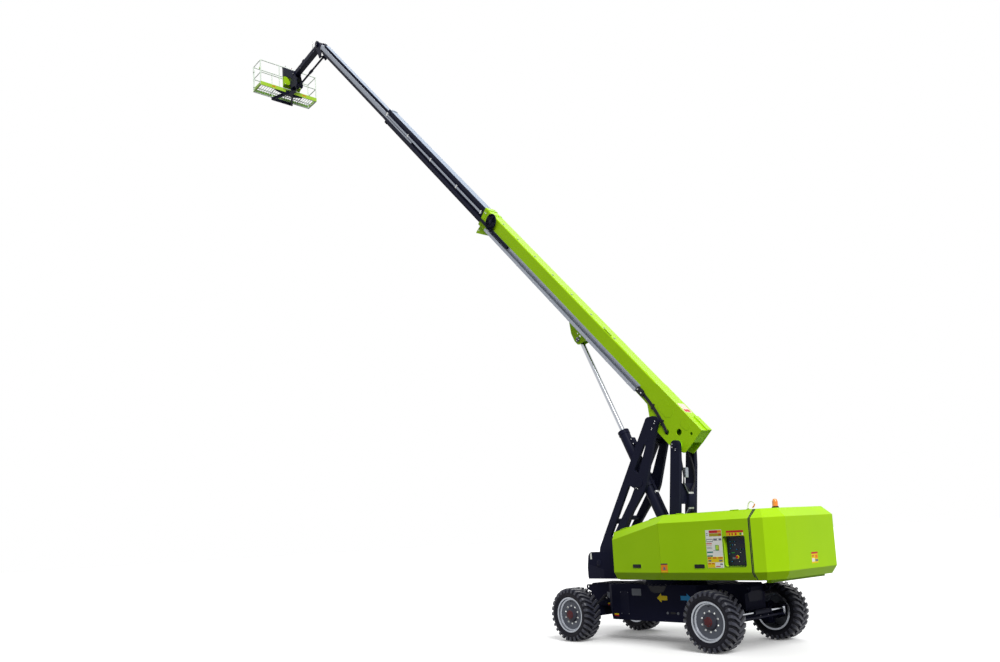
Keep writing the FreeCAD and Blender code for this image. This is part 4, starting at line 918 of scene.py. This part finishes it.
def boom_covers(bm):
    """Two bolted covers with eight corners, a long one and a short one, on each cheek."""
    long_cover = cut_cornered((1040, -255), 470, 280, 85)
    short_cover = cut_cornered((405, -185), 280, 180, 55)
    for hand in (1, -1):
        for outline in (long_cover, short_cover):
            band(bm, boom, outline, 9, hand * 158, hand * 161.5, slot=1)
            slab(bm, boom, drawn_in(outline, 11), hand * 158, hand * 162, 2)


piece("boom_cover_plates", "base_boom", [lime, lime_deep], boom_covers)


def boom_marks(bm):
    """Side label place, top bracket, lug bolts and the tail's edge."""
    for hand in (1, -1):
        bolt(bm, boom, 4278, -591, hand * 92, 40 * hand, slot=1)
        bolt(bm, boom, 4392, -591, hand * 92, 24 * hand, slot=1)
        turned(bm, boom, [(62, hand * 108), (62, hand * 113), (56, hand * 116), (20, hand * 116)], 28,
               4280, -690, slot=2)
        bolt_circle(bm, boom, (4280, -690), 40, 3, hand * 116, 16 * hand, slot=1, turn=0.5)
        for x in (9200, 9560):
            bolt(bm, boom, x, -540 - (x - 9200) * 0.3, hand * 82, 26 * hand, slot=1)
    for x in (3319, 3544, 3737, 4318, 5200, 6100, 7000, 7900, 8700):
        slab(bm, boom_top, rounded((x - 26, x + 26), (60, 112), 6), 0, 5, 1, slot=2)
    rings(bm, boom_top, [[(3400, y, 0), (3700, y, 0), (3690, y, 26), (3420, y, 26)] for y in (118, 150)])
    slab(bm, boom_top, rectangle((600, 900), (-110, 110)), 0, 1.5, slot=3)
    slab(bm, boom_top, rectangle((620, 700), (-90, 90)), 0, 1.8, slot=4)


piece("boom_marks", "base_boom", [lime_deep, zinc, vinyl["grey"], vinyl["pink"], vinyl["red"]], boom_marks)


def collar_bolts(bm):
    """Pad adjusters: rows of bolts round the nose collars of the base boom."""
    for s in (9480, 9540):
        for n in (-110, -390):
            for hand in (1, -1):
                if hand > 0 and n == -390:
                    continue
                bolt(bm, boom, s, n, hand * 168, 24 * hand, slot=0)
        for y in (-90, 90):
            bolt(bm, boom_top, s, y, 12, 24, slot=0)
            bolt(bm, boom_top, s, y, -512, -24, slot=0)


piece("nose_collar_bolts", "base_boom", zinc, collar_bolts)
bundle_start, bundle_end = 1836, 700
bundle_top, bundle_drop = -392, 204


def bundle_height(s):
    """Height of the hose bundle, which leaves the tray level and curves down to the heel's hole."""
    return bundle_top - bundle_drop * ((bundle_start - s) / (bundle_start - bundle_end)) ** 2


bundle_steps = [bundle_start + (bundle_end - bundle_start) * k / 8 for k in range(9)]
hoses("boom_hose_bundle", "base_boom", hose, 12.5,
      [route(boom, [(s, bundle_height(s) + rise, 173.5) for s in bundle_steps]
             + [(676 - rise / 4, -606 + rise / 2, 168), (672, -608 + rise / 4, 140)])
       for rise in (-25, 0, 25)])


def bundle_clamps(bm):
    """Clamps on the hose bundle and the ferrule where the hoses leave the tray."""
    for s in (1326, 898):
        n = bundle_height(s)
        slab(bm, boom, [(s - 16, n - 62), (s + 16, n - 66), (s + 28, n + 62), (s - 4, n + 66)], 160, 187.5, 4)
    for n, half in ((-392, 62), (-402, 50)):
        slab(bm, boom, rounded((1690 if half == 50 else 1740, 1935), (n - half, n + half), 14), 162,
             216 if half == 62 else 208, 5)
    for s in (1770, 1900):
        bolt(bm, boom, s, -392, 216, 26, slot=1)


piece("bundle_clamps", "base_boom", [hose, zinc], bundle_clamps)


def tray_fittings(bm):
    """Straps and screws that hold the tray to the boom."""
    for k in range(9):
        s = 2200 + 850 * k
        slab(bm, boom, rounded((s - 20, s + 20), (-476, -452), 5), 160, 252, 2)
        bolt(bm, boom, s, -431, 250, 16, slot=1)


piece("tray_straps", "base_boom", [galvanised, zinc], tray_fittings)


def guard_bolts(bm):
    """Ring of screws, boss cap and rolled edge of the hose guard."""
    at = board(boom @ Vector((9060, -155, 0)), boom_way, boom_up, Y)
    bolt_circle(bm, at, (0, 0), 184, 8, 240, 16, slot=0, turn=0.2)
    turned(bm, at, [(60, 246), (60, 252), (54, 256), (24, 257)], 28, slot=0)
    turned(bm, at, [(218, 236), (219, 240), (216, 243), (208, 243), (205, 240)], 64, slot=0)
    bolt_circle(bm, at, (0, 0), 42, 4, 256, 12, slot=0, turn=0.6)


piece("guard_bolts", "base_boom", dark, guard_bolts)

fly_2_band = (-218, -168)
fly_3_band = (-236, -142)


def carrier_2(bm):
    """Flat hose duct on the second section, with a clamp strap every 1.75 m and its nose block."""
    slab(bm, boom, rectangle((9650, 16380), fly_2_band), 176, 198, 3)
    for s in (9700, 11230, 12980, 14668):
        slab(bm, boom, rounded((s - 20, s + 20), (-233, -135), 6), 174, 201.5, 2, slot=1)
    slab(bm, boom, rounded((16285, 16380), (-236, -140), 8), 128, 200, 2, slot=1)
    for n in (-205, -170):
        bolt(bm, boom, 16262, n, 198, 4, slot=1)


piece("fly_2_hose_duct", "fly_2", [carrier_grey, zinc], carrier_2)


def carrier_3(bm):
    """Flat hose duct on the inner section, hung from a bracket at its nose."""
    slab(bm, boom, rectangle((16390, 22480), fly_3_band), 203, 215, 3)
    slab(bm, boom, rounded((22415, 22490), (-236, -142), 8), 99, 214, 2, slot=1)
    for n in (-215, -165):
        bolt(bm, boom, 22452, n, 215, 18, slot=1)


piece("fly_3_hose_duct", "fly_3", [carrier_grey, galvanised], carrier_3)


def fly_collar_bolts(bm):
    """Pad adjusters on the second section's nose collar."""
    for s in (16315, 16365):
        for y in (-70, 70):
            bolt(bm, boom_top, s, y, -18, 20)
            bolt(bm, boom_top, s, y, -482, -20)
        bolt(bm, boom, s, -110, -134, -20)
        bolt(bm, boom, s, -380, -134, -20)


piece("fly_2_collar_bolts", "fly_2", zinc, fly_collar_bolts)


def fly_tip(bm):
    """Sensor bracket on the inner section's nose and the keepers of the head's pin."""
    slab(bm, boom, rounded((22420, 22530), (-100, -72), 8), 20, 90, 3)
    slab(bm, boom, rounded((22440, 22510), (-74, -40), 8), 40, 80, 3, slot=1)


piece("fly_3_tip_bracket", "fly_3", [dark, zinc], fly_tip)

# ---------------------------------------------------------------- jib and boom head
head_pin = anchor("boom_head_level")
jib_pin = anchor("jib")


def head_details(bm):
    """Lifting eye, drum caps and screws of the boom head."""
    for pin, radius, face in ((jib_pin, 96, 170), (head_pin, 50, 139)):
        at = board(Vector((pin.x, 0, pin.z)), X, Z, Y)
        for hand in (1, -1):
            turned(bm, at, [(radius, hand * face), (radius, hand * (face + 4)),
                            (radius - 5, hand * (face + 7)), (12, hand * (face + 7))], 36)
            bolt_circle(bm, at, (0, 0), radius - 18, 8 if radius > 60 else 4, hand * (face + 7), 14 * hand,
                        slot=1)
    eye = spot(15060, 152, 21085)
    at = board(eye, X, Z, Y)
    profile = [(48, -8), (56, -7), (59, 0), (56, 7), (48, 8), (45, 0)]
    turned(bm, at, profile, 32, slot=1, closed=True)
    slab(bm, at, rectangle((-22, 22), (-190, -52)), -10, 10, slot=1)


piece("boom_head_details", "boom_head", [dark, zinc], head_details)


def jib_details(bm):
    """Hose clamps on the jib, the sensor block on its top and bolts on its sides."""
    for x in (420, 900, 1400):
        slab(bm, jib, rounded((x - 18, x + 18), (92, 128), 6), -70, 70, 2, slot=1)
    slab(bm, jib, rounded((1180, 1320), (94, 132), 10), 72, 96, 3)
    for x in (340, 1480):
        for hand in (1, -1):
            for y in (-60, 60):
                bolt(bm, jib, x, y, hand * 98, 16 * hand, slot=1)


piece("jib_details", "jib_arm", [dark, zinc], jib_details)
hoses("jib_hoses", "jib_arm", hose, 12,
      [route(jib, [(120, 108, y), (400, 110, y), (900, 110, y), (1400, 110, y), (1700, 112, y),
                   (1860, 104, y)]) for y in (-48, -16, 16, 48)])


def tie_details(bm):
    """Lock nuts of the tie's coupling."""
    along = tie.to_3x3() @ Vector((1, 0, 0))
    for x in (905, 1085):
        turned(bm, board(tie @ Vector((x, 0, 0)), along.cross(Y), Y, along),
               [(46, -14), (52, -10), (52, 10), (46, 14)], 6)


piece("tie_lock_nuts", "jib_tie", dark, tie_details)

# ---------------------------------------------------------------- platform
floor_height = 20235
support_spin = board(spot(17050, 0, 20180), X, Y, Z)


def support_details(bm):
    """Rotator housing rings, end cover and pin caps of the platform support."""
    turned(bm, support_spin, [(105, 300), (116, 306), (116, 330), (105, 336)], 40)
    turned(bm, support_spin, [(105, 20), (114, 26), (114, 60), (105, 66)], 40)
    turned(bm, support_spin, [(92, 350), (92, 360), (80, 366), (20, 366)], 36)
    bolt_circle(bm, support_spin, (0, 0), 78, 8, 360, 16, slot=1)
    tip = anchor("platform_level")
    at = board(Vector((tip.x, 0, tip.z)), X, Z, Y)
    for hand in (1, -1):
        turned(bm, at, [(54, hand * 139), (54, hand * 143), (48, hand * 146), (10, hand * 146)], 28)
        bolt_circle(bm, at, (0, 0), 34, 3, hand * 146, 14 * hand, slot=1)


piece("platform_support_details", "platform_support", [dark, zinc], support_details)


def cage_part(where, normal):
    height = where.z - floor_height
    if height > 152:
        return 0
    if height < -1 or (where.x < 17420 - 1 and height < 80):
        return 2
    # Painted shade: the inner face of the front toe board is coloured a deeper green.
    if where.x > 18100 and normal.x < -0.5:
        return 4
    # Painted light: the rear toe board is coloured a paler lime.
    if where.x < 17426:
        return 5
    if where.x > 18124 or where.y < -1179:
        return 1
    if height > 30:
        return 0
    return 1 if abs(where.y) > 1160 or abs(where.x - 17775) > 345 else 3


# Rails of the cage and gate are coloured almost white as painted light.
coat_node("platform_cage", [rail_painted_light, lime_deep, dark, grating, toe_board_painted_shade, toe_board_painted_light], cage_part)
coat_node("platform_gate", [rail_painted_light, lime_deep],
          lambda where, normal: 1 if abs(normal.y) > 0.99 and where.z < floor_height + 151 else 0)
coat_node("control_console", [lime_deep, panel_plastic],
          lambda where, normal: 1 if where.z > floor_height + 800 or where.x > 17419 else 0)
rear_board = board(spot(17420, 0, 0), -Y, Z, -X)
plates("toe_board_spots", "platform", rear_board, 0, [
    ("orange", (-720, -560), (20300, 20345)), ("orange", (560, 720), (20300, 20345)),
    ("red", (-700, -620), (20316, 20332)), ("red", (600, 680), (20316, 20332))])


def rail_joints(bm):
    """Cast clamps where rails meet posts, and the floor's toe-board screws."""
    for x in (17446, 18104):
        for y in (-1166, -430, 400, 1166):
            for height in (530, 1030):
                z = floor_height + height
                turned(bm, board(spot(x, y, z), X, Y, Z), [(22, -30), (25, -26), (25, -16), (22, -12)], 20)
                if y not in (-1166, 1166):
                    bar(bm, spot(x, y - 26, z), spot(x, y + 26, z), 23)
            turned(bm, board(spot(x, y, floor_height), X, Y, Z), [(26, 24), (26, 34), (22, 38)], 20)


piece("rail_clamps", "platform", rail_painted_light, rail_joints)


def floor_mesh(bm):
    """Raised studs in rows across the platform floor."""
    for k in range(19):
        y = -1120 + k * 2240 / 18
        for x in range(17500, 18060, 62):
            turned(bm, board(spot(x, y, floor_height + 25), X, Y, Z), [(5, 0), (4.2, 2.4), (2.5, 3)], 8)


piece("floor_studs", "platform", galvanised, floor_mesh)


def console_details(bm):
    """Panel with two joysticks, emergency stop, switches and a fold-up cover on the console."""
    low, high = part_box("control_console")
    at = board(spot(17330, -85, floor_height + 1004), Y, Vector((0.6, 0, 0.42)), Vector((-0.42, 0, 0.6)))
    for y in (-270, 270):
        turned(bm, at, [(26, 0), (26, 4), (14, 8), (8, 12), (8, 22), (13, 26), (14, 32), (8, 36)], 20,
               y, 0, slot=1)
    turned(bm, at, [(24, 0), (24, 4), (14, 5), (14, 10), (24, 14), (24, 20), (16, 22)], 24, 0, 0, slot=2)
    for y in (-180, -120, 100, 160, 200):
        turned(bm, at, [(9, 0), (9, 5), (4, 7), (4, 14), (2, 16)], 12, y, 10, slot=3)
    face = board(spot(17270, -85, 0), -Y, Z, -X)
    band(bm, face, rounded((-300, 300), (floor_height + 300, floor_height + 700), 20), 8, 0, 4, slot=0)
    for y in (-320, 320):
        for z in (240, 780):
            bolt(bm, face, y, floor_height + z, 0, 18, slot=3)


def console_cover(bm):
    """Dark weather cover round the upper half of the console, with its two hinge straps."""
    rear = board(spot(17270, 0, 0), -Y, Z, -X)
    slab(bm, rear, rounded((-276, 446), (floor_height + 560, floor_height + 905), 16), 0, 14, 4)
    for y, hand in ((270, 1), (-440, -1)):
        slab(bm, side, [(17262, floor_height + 560), (17415, floor_height + 600), (17415, floor_height + 990),
                        (17262, floor_height + 890)], y, y + hand * 6, 2)
    for y in (-120, 260):
        slab(bm, rear, rounded((y - 22, y + 22), (floor_height + 520, floor_height + 640), 8), 13, 19, 2)


piece("console_cover", "platform", panel_plastic, console_cover)
piece("console_controls", "platform", [lime_deep, panel_plastic, vinyl["red"], zinc], console_details)
console_loops = []
for foot, bow, rise in ((-150, -320, 600), (-105, -262, 560), (40, -40, 600), (85, 20, 550)):
    halfway = (foot + bow) / 2
    console_loops.append(route(plan, [(17262, foot, floor_height + rise),
                                      (17228, foot, floor_height + rise - 30),
                                      (17226, halfway, floor_height + rise - 70),
                                      (17226, bow, floor_height + rise - 160),
                                      (17226, bow, floor_height + 320),
                                      (17226, halfway, floor_height + 240),
                                      (17230, foot, floor_height + 210),
                                      (17262, foot + 10, floor_height + 200)]))
hoses("console_hoses", "platform", hose, 18, console_loops)
hoses("console_hoop", "platform", rail_painted_light, 8,
      [route(plan, [(17430, 280, floor_height + 940), (17430, 280, floor_height + 1034),
                    (17430, 262, floor_height + 1040), (17430, 120, floor_height + 1040),
                    (17430, 62, floor_height + 1040), (17430, 45, floor_height + 1034),
                    (17430, 45, floor_height + 940)])])


def gate_parts(bm):
    """Latch block and hinge caps of the side gate."""
    for z in (floor_height + 260, floor_height + 885):
        turned(bm, board(spot(18065, 1166, z), X, Y, Z), [(23, 0), (23, 6), (18, 10)], 20, slot=1)
    slab(bm, board(spot(17485, 1166, floor_height + 700), X, Z, Y), rounded((-20, 34), (-40, 40), 8),
         14, 26, 2, slot=0)
    turned(bm, board(spot(17490, 1166, floor_height + 700), X, Z, Y),
           [(9, 26), (9, 34), (14, 38), (12, 46)], 16, slot=1)


piece("gate_latch", "platform_gate", [lime_deep, zinc], gate_parts)


# ---------------------------------------------------------------- floor, lamps and camera
def studio_floor():
    """A pale floor: white to the eye, dimmer to what it lights, and true to the machine's shadow."""
    material = bpy.data.materials.new("studio_floor_painted")
    material.use_nodes = True
    tree = material.node_tree
    tree.nodes.clear()
    path = add(tree, "ShaderNodeLightPath")
    seen = add(tree, "ShaderNodeMath", {0: path.outputs["Is Camera Ray"], 1: path.outputs["Is Glossy Ray"]},
               operation="MAXIMUM")
    tone = add(tree, "ShaderNodeMix", {0: seen.outputs[0], 6: linear("#4c4c4c"), 7: linear("#fafafa")},
               data_type="RGBA")
    paint = add(tree, "ShaderNodeBsdfDiffuse", {"Color": tone.outputs[2]})
    glow = add(tree, "ShaderNodeEmission", {"Strength": 0.12})
    none = add(tree, "ShaderNodeEmission", {"Strength": 0.0})
    lift = add(tree, "ShaderNodeMixShader", {0: seen.outputs[0], 1: none.outputs[0], 2: glow.outputs[0]})
    whole = add(tree, "ShaderNodeAddShader", {0: paint.outputs[0], 1: lift.outputs[0]})
    add(tree, "ShaderNodeOutputMaterial", {0: whole.outputs[0]})
    mesh = bpy.data.meshes.new("studio_floor")
    half = floor_size / 2
    mesh.from_pydata([(-half, -half, 0), (half, -half, 0), (half, half, 0), (-half, half, 0)], [],
                     [(0, 1, 2, 3)])
    mesh.materials.append(material)
    floor = bpy.data.objects.new("studio_floor", mesh)
    bpy.context.scene.collection.objects.link(floor)


def studio_sky():
    """White where it is seen or mirrored, a soft even light elsewhere."""
    world = bpy.data.worlds.new("studio_sky")
    bpy.context.scene.world = world
    world.use_nodes = True
    tree = world.node_tree
    tree.nodes.clear()
    path = add(tree, "ShaderNodeLightPath")
    seen = add(tree, "ShaderNodeMath", {0: path.outputs["Is Camera Ray"], 1: path.outputs["Is Glossy Ray"]},
               operation="MAXIMUM")
    also = add(tree, "ShaderNodeMath", {0: seen.outputs[0], 1: path.outputs["Is Transmission Ray"]},
               operation="MAXIMUM")
    level = add(tree, "ShaderNodeMapRange", {"Value": also.outputs[0], "To Min": sky_light, "To Max": 1.0})
    sky = add(tree, "ShaderNodeBackground", {"Color": linear("#ffffff"), "Strength": level.outputs[0]})
    add(tree, "ShaderNodeOutputWorld", {0: sky.outputs[0]})


def add_lamp(name, way, strength, angle):
    lamp = bpy.data.objects.new(name, bpy.data.lights.new(name, "SUN"))
    lamp.data.energy = strength
    lamp.data.angle = math.radians(angle)
    lamp.rotation_euler = way.to_track_quat("Z", "Y").to_euler()
    bpy.context.scene.collection.objects.link(lamp)


def add_camera():
    data = bpy.data.cameras.new("studio_camera")
    camera = bpy.data.objects.new("studio_camera", data)
    bpy.context.scene.collection.objects.link(camera)
    ahead = Vector((math.cos(camera_pitch) * math.cos(camera_yaw),
                    math.cos(camera_pitch) * math.sin(camera_yaw), math.sin(camera_pitch)))
    level = Vector((math.sin(camera_yaw), -math.cos(camera_yaw), 0))
    upright = level.cross(ahead)
    right = math.cos(camera_roll) * level + math.sin(camera_roll) * upright
    up = -math.sin(camera_roll) * level + math.cos(camera_roll) * upright
    turn = Matrix((right, up, -ahead)).transposed()
    camera.matrix_world = Matrix.Translation(camera_place) @ turn.to_4x4()
    data.lens = camera_lens
    data.shift_x, data.shift_y = camera_shift
    data.clip_end = 500
    bpy.context.scene.camera = camera


studio_floor()
studio_sky()
add_lamp("key_lamp", key_way, key_strength, key_angle)
add_lamp("rim_lamp", rim_way, rim_strength, rim_angle)
add_camera()
bpy.context.scene.view_settings.view_transform = "Standard"
